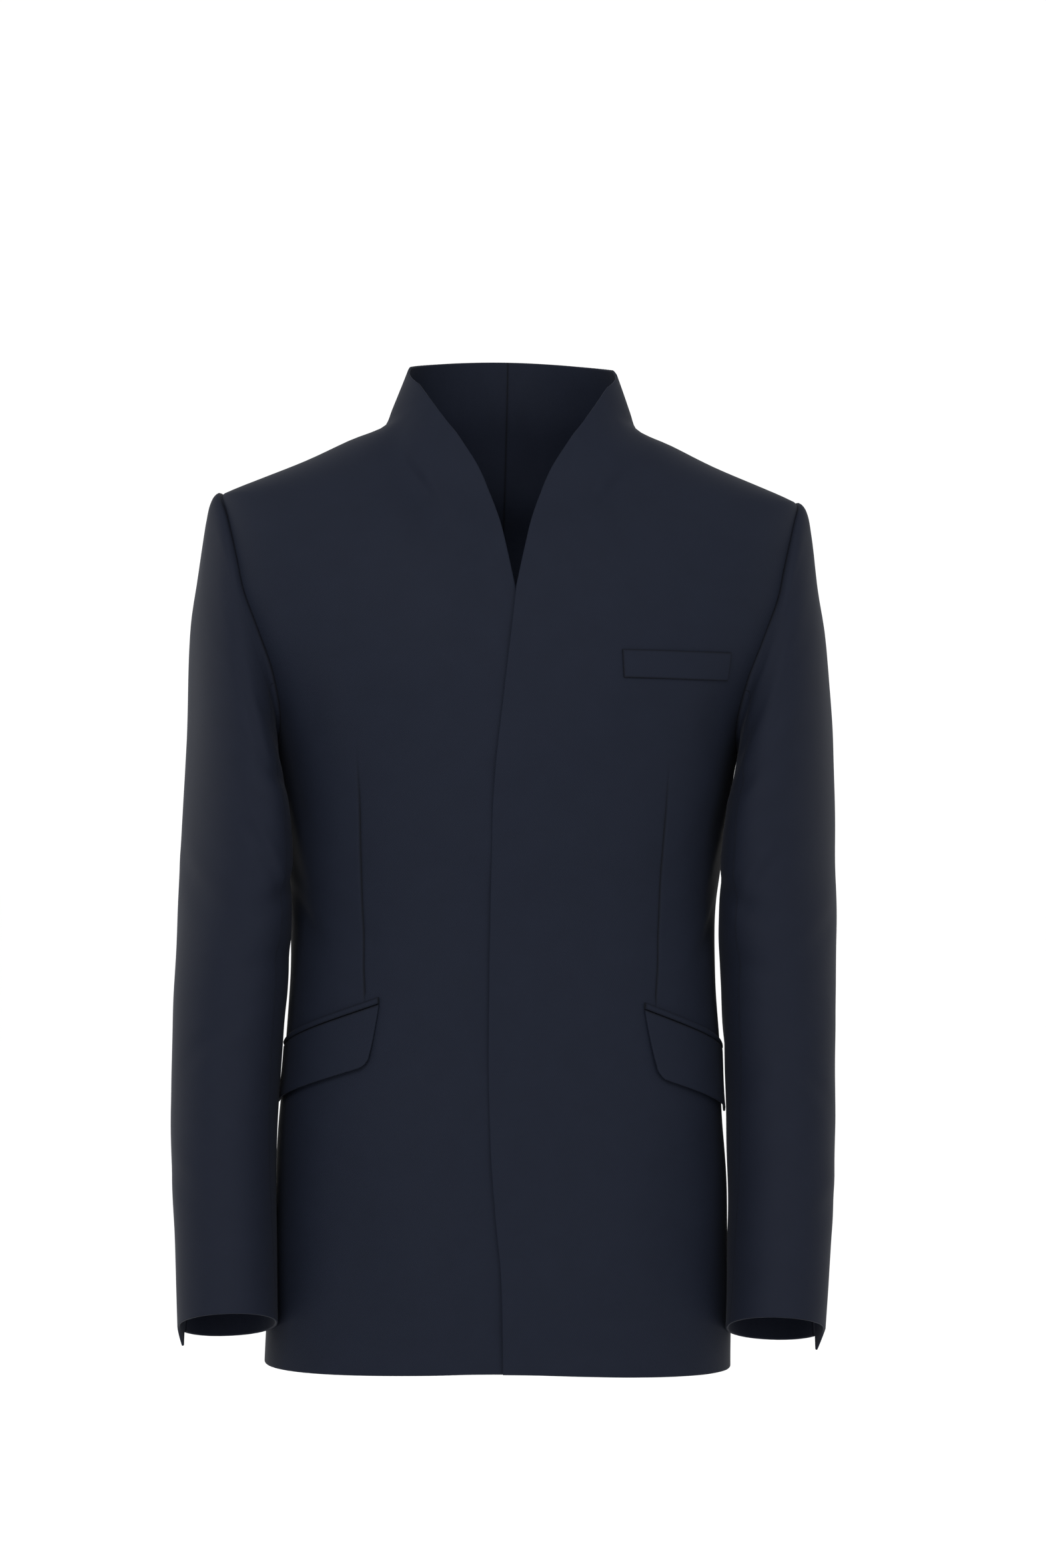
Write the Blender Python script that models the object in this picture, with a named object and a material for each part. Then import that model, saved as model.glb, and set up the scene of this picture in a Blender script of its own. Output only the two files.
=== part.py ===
"""A collarless blazer as it hangs on a general figure: hollow cloth panels with a grown-on stand.

Metres, +Z up, the front faces -Y and the wearer's left is +X. The origin is the middle of the neck
base, at the height where the stand meets the shoulder line.

Each panel is a grid of points on one smooth form. The grid is moved in by the cloth's thickness and
closed round its rim. The wearer's left half is worked out, and the right half is its mirror image.
"""

import math

import bpy
import numpy as np

for old_object in list(bpy.data.objects):
    bpy.data.objects.remove(old_object, do_unlink=True)

CLOTH = 0.0022          # wall of a panel
FLAP_CLOTH = 0.0020     # wall of a flap or a welt
JET_CLOTH = 0.0016      # wall of a pocket's jet
SEAM_GAP = 0.0003       # between two panels at a seam
LIFT = 0.0006           # between a panel and what lies on it
LAP_SINK = 0.0029       # how far the under front lies below the upper one
SOFTEN = 0.013          # how far up and down the form's sections are blended
SEAM_BACK = 0.006       # the side and shoulder seams lie in a plane this far behind the middle

# The body: level, half_width, front_depth, back_depth, squareness, middle. The widest place of a
# section lies a distance middle behind the origin.
FIGURE = (
    (-0.735, 0.1800, 0.1210, 0.1200, 2.25, 0.000),
    (-0.640, 0.1765, 0.1200, 0.1200, 2.25, 0.000),
    (-0.555, 0.1722, 0.1175, 0.1170, 2.25, 0.000),
    (-0.490, 0.1677, 0.1160, 0.1100, 2.25, 0.000),
    (-0.420, 0.1636, 0.1165, 0.1040, 2.25, 0.007),
    (-0.380, 0.1650, 0.1185, 0.1035, 2.25, 0.026),
    (-0.330, 0.1711, 0.1225, 0.1070, 2.25, 0.040),
    (-0.290, 0.1757, 0.1250, 0.1120, 2.25, 0.041),
    (-0.250, 0.1815, 0.1265, 0.1165, 2.20, 0.034),
    (-0.196, 0.1970, 0.1255, 0.1195, 2.20, 0.010),
    (-0.163, 0.2120, 0.1215, 0.1195, 2.20, 0.006),
    (-0.122, 0.2243, 0.1110, 0.1170, 2.20, 0.003),
    (-0.084, 0.2238, 0.0972, 0.1082, 2.15, 0.000),
    (-0.060, 0.2228, 0.0800, 0.0922, 2.10, 0.000),
    (-0.055, 0.2207, 0.0770, 0.0892, 2.10, 0.000),
    (-0.050, 0.2105, 0.0757, 0.0878, 2.05, 0.000),
    (-0.043, 0.1935, 0.0742, 0.0862, 2.05, 0.000),
    (-0.028, 0.1570, 0.0708, 0.0825, 2.00, 0.000),
    (-0.012, 0.1235, 0.0668, 0.0782, 2.00, 0.000),
    (0.000, 0.0965, 0.0635, 0.0745, 2.00, 0.000),
    (0.012, 0.0918, 0.0600, 0.0705, 2.00, 0.000),
    (0.027, 0.0862, 0.0570, 0.0680, 2.00, 0.000),
    (0.060, 0.0740, 0.0520, 0.0650, 2.00, 0.000),
)
# The neck's V edge: level, across
V_EDGE = (
    (-0.1276, 0.0000),
    (-0.1100, 0.0037),
    (-0.0952, 0.0070),
    (-0.0800, 0.0107),
    (-0.0647, 0.0155),
    (-0.0493, 0.0213),
    (-0.0338, 0.0286),
    (-0.0181, 0.0385),
    (-0.0021, 0.0494),
    (0.0139, 0.0615),
    (0.0300, 0.0727),
)
V_POINT = -0.1276
# The fronts' edges below the V, both past the centre front: level, across
LAP_EDGE = (
    (-0.7300, -0.0018),
    (-0.6520, -0.0044),
    (-0.6000, -0.0096),
    (-0.5480, -0.0138),
    (-0.4780, -0.0160),
    (-0.4330, -0.0162),
    (-0.3030, -0.0160),
    (-0.2640, -0.0143),
    (-0.2080, -0.0088),
    (-0.1276, 0.0000),
)
NECK_CORNER = 0.0300    # level at which the V edge turns into the stand's top edge
STAND_SIDE = 0.0462     # top of the stand at the shoulder seam
STAND_BACK = 0.0565     # and at the centre back
HEM_FRONT = -0.7135
HEM_SIDE = -0.7205
HEM_BACK = -0.7220
UNDERARM = -0.2500
SHOULDER_TIP = -0.0550
ARMHOLE_FRONT = 0.061   # reach of the armhole forward of its middle
ARMHOLE_BACK = 0.064
ARMHOLE_SLANT = 0.18    # the front scye is cut deeper low down

# The sleeve, ring by ring from the armhole: the crest is the outermost point of a ring and the pit the
# innermost. tilt is a ring's fall per metre towards the back, and skew its run inwards per metre
# towards the front. loose is its share of the armhole's own curve.
# crest_x, crest_level, pit_x, pit_level, middle_y, half_depth, tilt, skew, loose
SLEEVE = (
    (0.2207, -0.0550, 0.1785, -0.2500, 0.006, 0.0610, 0.00, 0.000, 1.00),
    (0.2236, -0.0538, 0.1803, -0.2505, 0.006, 0.0618, 0.00, 0.010, 0.95),
    (0.2272, -0.0563, 0.1815, -0.2525, 0.006, 0.0630, 0.00, 0.035, 0.85),
    (0.2312, -0.0645, 0.1812, -0.2560, 0.006, 0.0645, 0.00, 0.065, 0.72),
    (0.2340, -0.0780, 0.1792, -0.2620, 0.006, 0.0662, 0.00, 0.095, 0.55),
    (0.2390, -0.1180, 0.1772, -0.2705, 0.004, 0.0690, 0.00, 0.145, 0.25),
    (0.2434, -0.1560, 0.1748, -0.2800, 0.001, 0.0708, 0.00, 0.205, 0.05),
    (0.2452, -0.2050, 0.1723, -0.2930, -0.004, 0.0705, 0.00, 0.250, 0.00),
    (0.2466, -0.2600, 0.1700, -0.3120, -0.008, 0.0690, 0.00, 0.280, 0.00),
    (0.2486, -0.3200, 0.1672, -0.3420, -0.010, 0.0670, 0.03, 0.270, 0.00),
    (0.2523, -0.3780, 0.1656, -0.3840, -0.011, 0.0645, 0.08, 0.205, 0.00),
    (0.2544, -0.4350, 0.1670, -0.4350, -0.014, 0.0620, 0.14, 0.125, 0.00),
    (0.2544, -0.4950, 0.1699, -0.4950, -0.020, 0.0595, 0.20, 0.060, 0.00),
    (0.2530, -0.5750, 0.1722, -0.5750, -0.034, 0.0560, 0.26, 0.020, 0.00),
    (0.2493, -0.6250, 0.1714, -0.6250, -0.045, 0.0535, 0.28, 0.000, 0.00),
    (0.2438, -0.6980, 0.1690, -0.6940, -0.063, 0.0500, 0.30, 0.000, 0.00),
)
SLEEVE_SQUARENESS = 2.15
# How far the left sleeve's crest lies outside its ring, and the right one's inside, as the arms hang
# unevenly: share of the length, swing
SLEEVE_SWING = (
    (0.00, 0.0000),
    (0.08, 0.0003),
    (0.19, 0.0025),
    (0.30, 0.0042),
    (0.45, 0.0042),
    (0.54, 0.0030),
    (0.62, 0.0012),
    (0.80, 0.0012),
    (1.00, 0.0000),
)
# The sleeve's two seams, in degrees round from the crest: share of the length, front_seam, hind_seam
SLEEVE_SEAMS = (
    (0.00, 120.0, -120.0),
    (0.45, 126.0, -104.0),
    (0.75, 142.0, -66.0),
    (1.00, 165.0, -22.0),
)
VENT_LENGTH = 0.16      # share of the sleeve's length that the hind seam stays open
VENT_SPREAD = 4.0       # opening at the cuff, in degrees on each side
CUFF_RISE = 0.017       # share of the length that the hem lies above the vent's pointed corner

# The body's largest folds, as a line of given breadth that is pushed in or out. side is 1 for the
# wearer's left, -1 for the right and 0 for both.
# side, start_turn, start_level, end_turn, end_level, half_breadth, height
BODY_FOLDS = (
    (-1, 66.0, -0.008, 33.0, -0.085, 0.0090, -0.0030),
    (1, 68.0, -0.014, 38.0, -0.070, 0.0090, -0.0022),
    (-1, 76.0, -0.290, 66.0, -0.400, 0.0160, -0.0030),
    (1, 78.0, -0.300, 68.0, -0.390, 0.0160, -0.0022),
    (0, 112.0, -0.350, 150.0, -0.372, 0.0130, -0.0026),
    (0, 108.0, -0.405, 145.0, -0.392, 0.0120, -0.0022),
)
# The sleeves' largest folds: side, start_round, start_share, end_round, end_share, half_breadth, height
SLEEVE_FOLDS = (
    (0, 95.0, 0.50, 165.0, 0.43, 0.0110, -0.0032),
    (0, 90.0, 0.57, 160.0, 0.55, 0.0110, -0.0030),
    (0, 80.0, 0.30, 140.0, 0.20, 0.0120, -0.0026),
    (-1, 20.0, 0.47, 100.0, 0.54, 0.0130, -0.0018),
    (1, 30.0, 0.60, 110.0, 0.66, 0.0130, -0.0018),
    (0, -95.0, 0.48, -60.0, 0.60, 0.0140, -0.0020),
)
BODY_RADIUS = 0.125     # turns a body fold's angles into lengths
SLEEVE_RADIUS = 0.052
SLEEVE_LENGTH = 0.640

# The chest welt's corners on the wearer's left front: across, level
WELT_TOP_FRONT = (0.0797, -0.1733)
WELT_TOP_SIDE = (0.1647, -0.1735)
WELT_BOTTOM_FRONT = (0.0807, -0.1944)
WELT_BOTTOM_SIDE = (0.1630, -0.1948)

FLAP_TOP_TURN = 44.5    # front end of a flap, in degrees from the centre front
FLAP_BOTTOM_TURN = 48.0
FLAP_BACK_TURN = 86.0
FLAP_FRONT_LEVEL = -0.441
FLAP_BACK_LEVEL = -0.478
FLAP_DEPTH = 0.045
FLAP_ROUNDING = 0.006   # rise of the flap's bottom at its front corner
JET_HEIGHT = 0.0050
JET_GAP = 0.0006

BODY_ROWS = 11
ARMHOLE_ROWS = 13       # one every 15 degrees, which the sleeve's columns share
SHOULDER_ROWS = 5
STAND_ROWS = 4
FRONT_COLUMNS = 16
BACK_COLUMNS = 11
TOP_COLUMNS = 17
UNDER_COLUMNS = 9
SLEEVE_ROWS = 23
NAVY = (0.018, 0.021, 0.030, 1.0)


def curve(knots, values):
    """A smooth curve through the values that never overshoots them, as a function of the knots."""
    knots = np.asarray(knots, float)
    values = np.asarray(values, float)
    shape = (-1,) + (1,) * (values.ndim - 1)
    steps = np.diff(knots).reshape(shape)
    rises = np.diff(values, axis=0) / steps
    slopes = np.zeros_like(values)
    slopes[0] = rises[0]
    slopes[-1] = rises[-1]
    before, after = rises[:-1], rises[1:]
    weight_before = 2 * steps[1:] + steps[:-1]
    weight_after = steps[1:] + 2 * steps[:-1]
    same_way = before * after > 0
    safe_before = np.where(same_way, before, 1.0)
    safe_after = np.where(same_way, after, 1.0)
    mean = (weight_before + weight_after) / (weight_before / safe_before + weight_after / safe_after)
    slopes[1:-1] = np.where(same_way, mean, 0.0)

    def at(where):
        where = np.clip(np.asarray(where, float), knots[0], knots[-1])
        place = np.clip(np.searchsorted(knots, where) - 1, 0, len(knots) - 2)
        width = (knots[place + 1] - knots[place]).reshape(where.shape + (1,) * (values.ndim - 1))
        share = (where - knots[place]).reshape(width.shape) / width
        rest = 1 - share
        return (
            values[place] * (1 + 2 * share) * rest**2
            + slopes[place] * width * share * rest**2
            + values[place + 1] * share**2 * (3 - 2 * share)
            - slopes[place + 1] * width * share**2 * rest
        )

    return at


def column(table, number):
    return curve([row[0] for row in table], [row[number] for row in table])


half_width_at = column(FIGURE, 1)
front_depth_at = column(FIGURE, 2)
back_depth_at = column(FIGURE, 3)
squareness_at = column(FIGURE, 4)
middle_at = column(FIGURE, 5)
v_edge_at = column(V_EDGE, 1)
lap_edge_at = column(LAP_EDGE, 1)
front_seam_at = column(SLEEVE_SEAMS, 1)
hind_seam_at = column(SLEEVE_SEAMS, 2)
swing_at = column(SLEEVE_SWING, 1)


def ease(value, start, end):
    """0 at start and 1 at end, level at both."""
    share = np.clip((value - start) / (end - start), 0.0, 1.0)
    return share * share * (3 - 2 * share)


def section_point(turn, level):
    """A point of one section; turn is 0 at the centre front and pi at the centre back."""
    middle = middle_at(level)
    depth = np.where(np.cos(turn) > 0, front_depth_at(level) + middle, back_depth_at(level) - middle)
    power = squareness_at(level)
    wide = np.abs(np.sin(turn)) / half_width_at(level)
    deep = np.abs(np.cos(turn)) / depth
    reach = (wide**power + deep**power) ** (-1 / power)
    return np.stack([reach * np.sin(turn), middle - reach * np.cos(turn)], axis=-1)


def body(turn, level):
    """A point of the bare form: the sections, softened up and down but for their two sides."""
    spread = SOFTEN * np.minimum(1.0, 2.5 * np.abs(np.cos(turn)))
    flat = sum(
        weight * section_point(turn, level + shift * spread)
        for shift, weight in ((-1.0, 0.125), (-0.5, 0.25), (0.0, 0.25), (0.5, 0.25), (1.0, 0.125))
    )
    return np.concatenate([flat, (level + 0 * turn)[..., None]], axis=-1)


def turn_at_depth(back, level):
    """The turn at which the form lies a distance back from the origin, on the wearer's left."""
    middle = middle_at(level)
    behind = back - middle
    depth = np.where(behind < 0, front_depth_at(level) + middle, back_depth_at(level) - middle)
    power = squareness_at(level)
    across = half_width_at(level) * (1 - (np.abs(behind) / depth) ** power) ** (1 / power)
    return np.arctan2(across, -behind)


def turn_at_width(across, level):
    """The turn on the front at which the form lies a distance across."""
    power = squareness_at(level)
    share = np.abs(across) / half_width_at(level)
    forward = (front_depth_at(level) + middle_at(level)) * (1 - share**power) ** (1 / power)
    return np.arctan2(across, forward)


def normals(surface, first, second):
    """Unit normals of a surface that is a function of two numbers."""
    step = 2e-4
    along_first = surface(first + step, second) - surface(first - step, second)
    along_second = surface(first, second + step) - surface(first, second - step)
    normal = np.cross(along_first, along_second)
    return normal / np.linalg.norm(normal, axis=-1, keepdims=True)


def fold_height(folds, side, across, along):
    """The sum of the folds that reach a place; across and along are lengths, or degrees in the rows."""
    total = np.zeros_like(across + along)
    for fold_side, start_across, start_along, end_across, end_along, breadth, height in folds:
        if fold_side not in (0, side):
            continue
        run_across = end_across - start_across
        run_along = end_along - start_along
        length = run_across**2 + run_along**2
        share = ((across - start_across) * run_across + (along - start_along) * run_along) / length
        near = np.clip(share, 0.0, 1.0)
        gap_across = across - start_across - near * run_across
        gap_along = along - start_along - near * run_along
        apart = np.hypot(gap_across, gap_along)
        total = total + height * np.exp(-((apart / breadth) ** 2)) * (0.35 + 0.65 * np.sin(math.pi * near))
    return total


def in_lengths(folds, radius, length):
    """The fold rows with their degrees and shares turned into metres."""
    return [
        (row[0], math.radians(row[1]) * radius, row[2] * length, math.radians(row[3]) * radius,
         row[4] * length, row[5], row[6])
        for row in folds
    ]


BODY_FOLD_LINES = in_lengths(BODY_FOLDS, BODY_RADIUS, 1.0)
SLEEVE_FOLD_LINES = in_lengths(SLEEVE_FOLDS, SLEEVE_RADIUS, SLEEVE_LENGTH)


def body_skin(side, sunk):
    """The outer face of the body cloth on one side; sunk is true for the under front's lap."""

    def skin(turn, level):
        height = fold_height(BODY_FOLD_LINES, side, turn * BODY_RADIUS, level)
        if sunk:
            below = 1 - ease(turn, math.radians(10.0), math.radians(26.0))
            height = height - LAP_SINK * below * (1 - ease(level, V_POINT + 0.014, V_POINT + 0.070))
        return body(turn, level) + height[..., None] * normals(body, turn, level)

    return skin


def hem_level(turn):
    front = HEM_FRONT + (HEM_SIDE - HEM_FRONT) * np.sin(np.clip(turn, 0, math.pi / 2)) ** 2
    back = HEM_BACK + (HEM_SIDE - HEM_BACK) * np.sin(turn) ** 2
    return np.where(turn < math.pi / 2, front, back)


def armhole(angle, trim):
    """How far back and how high the armhole runs; angle is 0 at the shoulder and pi under the arm."""
    middle = (SHOULDER_TIP + UNDERARM) / 2
    half_height = (SHOULDER_TIP - UNDERARM) / 2 - trim
    forward = (ARMHOLE_FRONT - trim) * (1 - ARMHOLE_SLANT * np.cos(angle))
    rearward = ARMHOLE_BACK - trim
    sine = np.sin(angle)
    back = SEAM_BACK - np.where(sine > 0, forward, rearward) * sine
    return back, middle + half_height * np.cos(angle)


def outer_edge(front):
    """The panel's edge along the side seam, armhole, shoulder seam and stand: turns and levels."""
    facing = 1 if front else -1
    seam = SEAM_BACK - facing * SEAM_GAP / 2
    angles = np.linspace(math.pi, 0.0, ARMHOLE_ROWS)
    back, armhole_levels = armhole(facing * angles, 0.0)
    back = np.minimum(back, seam) if front else np.maximum(back, seam)
    low = np.linspace(HEM_SIDE, UNDERARM, BODY_ROWS)[:-1]
    shoulder = np.linspace(SHOULDER_TIP, 0.0, SHOULDER_ROWS + 1)[1:]
    stand = np.linspace(0.0, STAND_SIDE, STAND_ROWS + 1)[1:]
    levels = np.concatenate([low, armhole_levels, shoulder, stand])
    depths = np.concatenate([np.full(len(low), seam), back, np.full(len(shoulder) + len(stand), seam)])
    return turn_at_depth(depths, levels), levels


def inner_levels(outer_levels, top):
    """The levels at a panel's other edge: the same as at the seam, but the stand ends at top."""
    return np.where(outer_levels > 0, outer_levels * top / STAND_SIDE, outer_levels)


def front_edge(levels):
    """The turn of a front's V edge and lap edge."""
    across = np.where(levels > V_POINT, v_edge_at(levels), lap_edge_at(levels))
    return turn_at_width(across, levels)


def even_rows(skin, start_turn, start_level, end_turn, end_level, columns, bow):
    """Turns and levels of a grid whose columns are evenly spaced along each row of the skin."""
    fine = np.linspace(0.0, 1.0, 121)[None, :]
    turns = start_turn[:, None] + (end_turn - start_turn)[:, None] * fine
    levels = start_level[:, None] + (end_level - start_level)[:, None] * bow(fine)
    low = np.clip((UNDERARM - levels) / (UNDERARM - HEM_SIDE), 0.0, 1.0)
    levels = levels + low * (hem_level(turns) - HEM_SIDE)
    points = skin(turns, levels)
    steps = np.linalg.norm(np.diff(points, axis=1), axis=-1)
    run = np.concatenate([np.zeros((len(steps), 1)), np.cumsum(steps, axis=1)], axis=1)
    wanted = np.linspace(0.0, 1.0, columns)
    places = np.stack([np.interp(wanted, row / row[-1], fine[0]) for row in run])
    return (
        np.stack([np.interp(place, fine[0], row) for place, row in zip(places, turns)]),
        np.stack([np.interp(place, fine[0], row) for place, row in zip(places, levels)]),
    )


def front_grid(side):
    skin = body_skin(side, side < 0)
    end_turn, end_level = outer_edge(True)
    start_level = inner_levels(end_level, NECK_CORNER)
    start_turn = front_edge(start_level)
    turns, levels = even_rows(
        skin, start_turn, start_level, end_turn, end_level, FRONT_COLUMNS, lambda share: share
    )
    return skin, turns, levels


def back_grid(side):
    skin = body_skin(side, False)
    start_turn, start_level = outer_edge(False)
    end_level = inner_levels(start_level, STAND_BACK)
    end_turn = math.pi - SEAM_GAP / 2 / back_depth_at(end_level)
    turns, levels = even_rows(
        skin, start_turn, start_level, end_turn, end_level, BACK_COLUMNS,
        lambda share: np.sin(share * math.pi / 2),
    )
    return skin, turns, levels


def closed_wall(name, outer, inner, side):
    """A closed mesh between two grids of points, facing outwards."""
    rows, columns = outer.shape[:2]
    points = np.concatenate([outer.reshape(-1, 3), inner.reshape(-1, 3)]) * np.array([side, 1.0, 1.0])
    under = rows * columns
    faces = []
    for row in range(rows - 1):
        for place in range(columns - 1):
            corner = row * columns + place
            opposite = corner + columns + 1
            for face in ((corner, corner + 1, opposite), (corner, opposite, opposite - 1)):
                faces.append(face)
                faces.append(tuple(under + index for index in reversed(face)))
    bottom = list(range(columns))
    right = [row * columns + columns - 1 for row in range(1, rows)]
    top = [(rows - 1) * columns + place for place in range(columns - 2, -1, -1)]
    left = [row * columns for row in range(rows - 2, 0, -1)]
    rim = bottom + right + top + left
    for first, second in zip(rim, rim[1:] + rim[:1]):
        faces.append((second, first, under + first, under + second))
    if side < 0:
        faces = [tuple(reversed(face)) for face in faces]
    mesh = bpy.data.meshes.new(name)
    mesh.from_pydata([tuple(point) for point in points], [], faces)
    mesh.update()
    piece = bpy.data.objects.new(name, mesh)
    bpy.context.scene.collection.objects.link(piece)
    material = bpy.data.materials.new(name + "_cloth")
    material.use_nodes = True
    shader = material.node_tree.nodes["Principled BSDF"]
    shader.inputs["Base Color"].default_value = NAVY
    shader.inputs["Roughness"].default_value = 0.85
    mesh.materials.append(material)
    return piece


def body_panel(name, grid, side):
    skin, turns, levels = grid
    outer = skin(turns, levels)
    closed_wall(name, outer, outer - CLOTH * normals(skin, turns, levels), side)


def laid_piece(name, side, turns, levels, cloth):
    """A piece that lies on a front, made from the front's points moved out."""
    skin = body_skin(side, False)
    base = skin(turns, levels)
    out = normals(skin, turns, levels)
    closed_wall(name, base + (LIFT + cloth) * out, base + LIFT * out, side)


def sleeve_loops(angles):
    """The sleeve's rings at the given angles round from the crest, as (ring, angle, xyz)."""
    cosine = np.cos(angles)
    sine = np.sin(angles)
    reach = (np.abs(cosine) ** SLEEVE_SQUARENESS + np.abs(sine) ** SLEEVE_SQUARENESS) ** (
        -1 / SLEEVE_SQUARENESS
    )
    back, level = armhole(angles, SEAM_GAP + 0.0002)
    seam_loop = body(turn_at_depth(back, level), level)
    loops = []
    for crest_x, crest_level, pit_x, pit_level, middle_y, half_depth, tilt, skew, loose in SLEEVE:
        outward = reach * cosine
        forward = half_depth * reach * sine
        x = (crest_x + pit_x) / 2 + (crest_x - pit_x) / 2 * outward - skew * forward
        z = (crest_level + pit_level) / 2 + (crest_level - pit_level) / 2 * outward + tilt * forward
        ring = np.stack([x, middle_y - forward, z], axis=-1)
        if not loops:
            first_ring = ring
        loops.append(ring + loose * (seam_loop - first_ring))
    return np.stack(loops)


FINE_ANGLES = np.linspace(-math.pi, math.pi, 361)
RING_SHARES = np.linspace(0.0, 1.0, len(SLEEVE))
rings_along = curve(RING_SHARES, sleeve_loops(FINE_ANGLES))


def length_shares():
    """Where equal steps of length down the crest fall among the rings."""
    fine = np.linspace(0.0, 1.0, 400)
    crest = rings_along(fine)[:, 180]
    run = np.concatenate([[0.0], np.cumsum(np.linalg.norm(np.diff(crest, axis=0), axis=1))])
    return fine, run / run[-1]


FINE_SHARES, CREST_RUN = length_shares()


def bare_sleeve(angle, share):
    """A point of the sleeve without folds; share runs from the armhole to the cuff."""
    ring = np.interp(share, CREST_RUN, FINE_SHARES)
    flat_ring = ring.reshape(-1)
    turned = (angle.reshape(-1) + math.pi) % (2 * math.pi)
    exact = turned / (2 * math.pi) * 360
    low = np.clip(np.floor(exact).astype(int), 0, 359)
    part = (exact - low)[:, None]
    loops = rings_along(flat_ring)
    places = np.arange(len(flat_ring))
    points = loops[places, low] * (1 - part) + loops[places, low + 1] * part
    return points.reshape(angle.shape + (3,))


def swung_sleeve(side, angle, share):
    """A point of one side's sleeve without its folds."""
    points = bare_sleeve(angle, share)
    points[..., 0] += side * swing_at(share) * (1 + np.cos(angle)) / 2
    return points


def sleeve_skin(side):
    def skin(angle, share):
        wrapped = (angle + math.pi) % (2 * math.pi) - math.pi
        height = fold_height(SLEEVE_FOLD_LINES, side, wrapped * SLEEVE_RADIUS, share * SLEEVE_LENGTH)
        height = height * ease(share, 0.0, 0.06)
        out = normals(bare_sleeve, angle, np.clip(share, 0.004, 0.996))
        return swung_sleeve(side, angle, share) + height[..., None] * out

    return skin


def sleeve_normals(skin, angle, share):
    """Outward normals; at the armhole the wall stands square to the body cloth, as it butts onto it."""
    own = normals(skin, angle, np.clip(share, 0.004, 0.996))
    back, level = armhole(angle, SEAM_GAP + 0.0002)
    seam = normals(body, turn_at_depth(back, level), level)
    at_seam = (share < 0.001)[..., None]
    return np.where(at_seam, seam, own)


def sleeve_panel(name, side, top):
    skin = sleeve_skin(side)
    head = 0.10 * np.linspace(0.0, 1.0, 7)[:-1] ** 1.7
    shares = np.concatenate([head, np.linspace(0.10, 1.0, SLEEVE_ROWS - len(head))])
    trim = SEAM_GAP * 0.62 / 0.040
    columns = TOP_COLUMNS if top else UNDER_COLUMNS
    places = np.linspace(0.0, 1.0, columns)[None, :]
    corner = np.clip(1 - places / 0.16, 0.0, 1.0) ** 2 if top else 0 * places
    grid_shares = shares[:, None] * (1 - CUFF_RISE * (1 - corner))
    vent = np.radians(VENT_SPREAD) * ease(shares, 1.0 - VENT_LENGTH, 1.0)
    if top:
        start = np.radians(hind_seam_at(grid_shares[:, 0])) + trim
        end = np.radians(front_seam_at(grid_shares[:, -1])) - trim
    else:
        start = np.radians(front_seam_at(grid_shares[:, 0])) + trim
        end = np.radians(hind_seam_at(grid_shares[:, -1])) + 2 * math.pi - trim - vent
    angles = start[:, None] + (end - start)[:, None] * places
    outer = skin(angles, grid_shares)
    inner = outer - CLOTH * sleeve_normals(skin, angles, grid_shares)
    closed_wall(name, outer, inner, side)


def chest_welt():
    across_places = np.linspace(0.0, 1.0, 8)[None, :]
    up_places = np.linspace(0.0, 1.0, 3)[:, None]

    def between(number):
        bottom = WELT_BOTTOM_FRONT[number] + (WELT_BOTTOM_SIDE[number] - WELT_BOTTOM_FRONT[number]) * across_places
        top = WELT_TOP_FRONT[number] + (WELT_TOP_SIDE[number] - WELT_TOP_FRONT[number]) * across_places
        return bottom + (top - bottom) * up_places

    levels = between(1)
    turns = turn_at_width(between(0), levels)
    laid_piece("chest_welt", 1, turns, levels, FLAP_CLOTH)


def pocket(side_name, side):
    """A slanted flap pocket: the flap and the jet above it."""
    places = np.linspace(0.0, 1.0, 10)[None, :]
    slant = FLAP_FRONT_LEVEL + (FLAP_BACK_LEVEL - FLAP_FRONT_LEVEL) * places
    down = np.linspace(1.0, 0.0, 4)[:, None]
    corner = np.clip(1 - places / 0.12, 0.0, 1.0) ** 2
    start = FLAP_TOP_TURN + (FLAP_BOTTOM_TURN - FLAP_TOP_TURN) * down
    turns = np.radians(start + (FLAP_BACK_TURN - start) * places)
    levels = slant - (FLAP_DEPTH - FLAP_ROUNDING * corner) * down
    laid_piece("flap_" + side_name, side, turns, levels, FLAP_CLOTH)
    up = np.linspace(0.0, 1.0, 2)[:, None]
    jet_turns = np.radians(FLAP_TOP_TURN + (FLAP_BACK_TURN - FLAP_TOP_TURN) * places) + 0 * up
    laid_piece("jet_" + side_name, side, jet_turns, slant + JET_GAP + JET_HEIGHT * up, JET_CLOTH)


for side_name, side in (("left", 1), ("right", -1)):
    body_panel("front_" + side_name, front_grid(side), side)
    body_panel("back_" + side_name, back_grid(side), side)
    sleeve_panel("top_sleeve_" + side_name, side, True)
    sleeve_panel("under_sleeve_" + side_name, side, False)
    pocket(side_name, side)
chest_welt()
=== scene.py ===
"""Dresses the collarless blazer: each cloth panel is a thin shell with rolled edges, darts and creases.

The forms repeat the part's own sizes, in metres: +Z is up, the front faces -Y and the wearer's left is
+X. Each half is worked out as if it were the left one, and the right one is then turned over. The halves
differ in their creases, waves, darts, flaps and laps, and in how the sleeves hang.
"""

import math

import bpy
import numpy as np
from mathutils import Matrix, Vector
from mathutils.kdtree import KDTree


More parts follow.
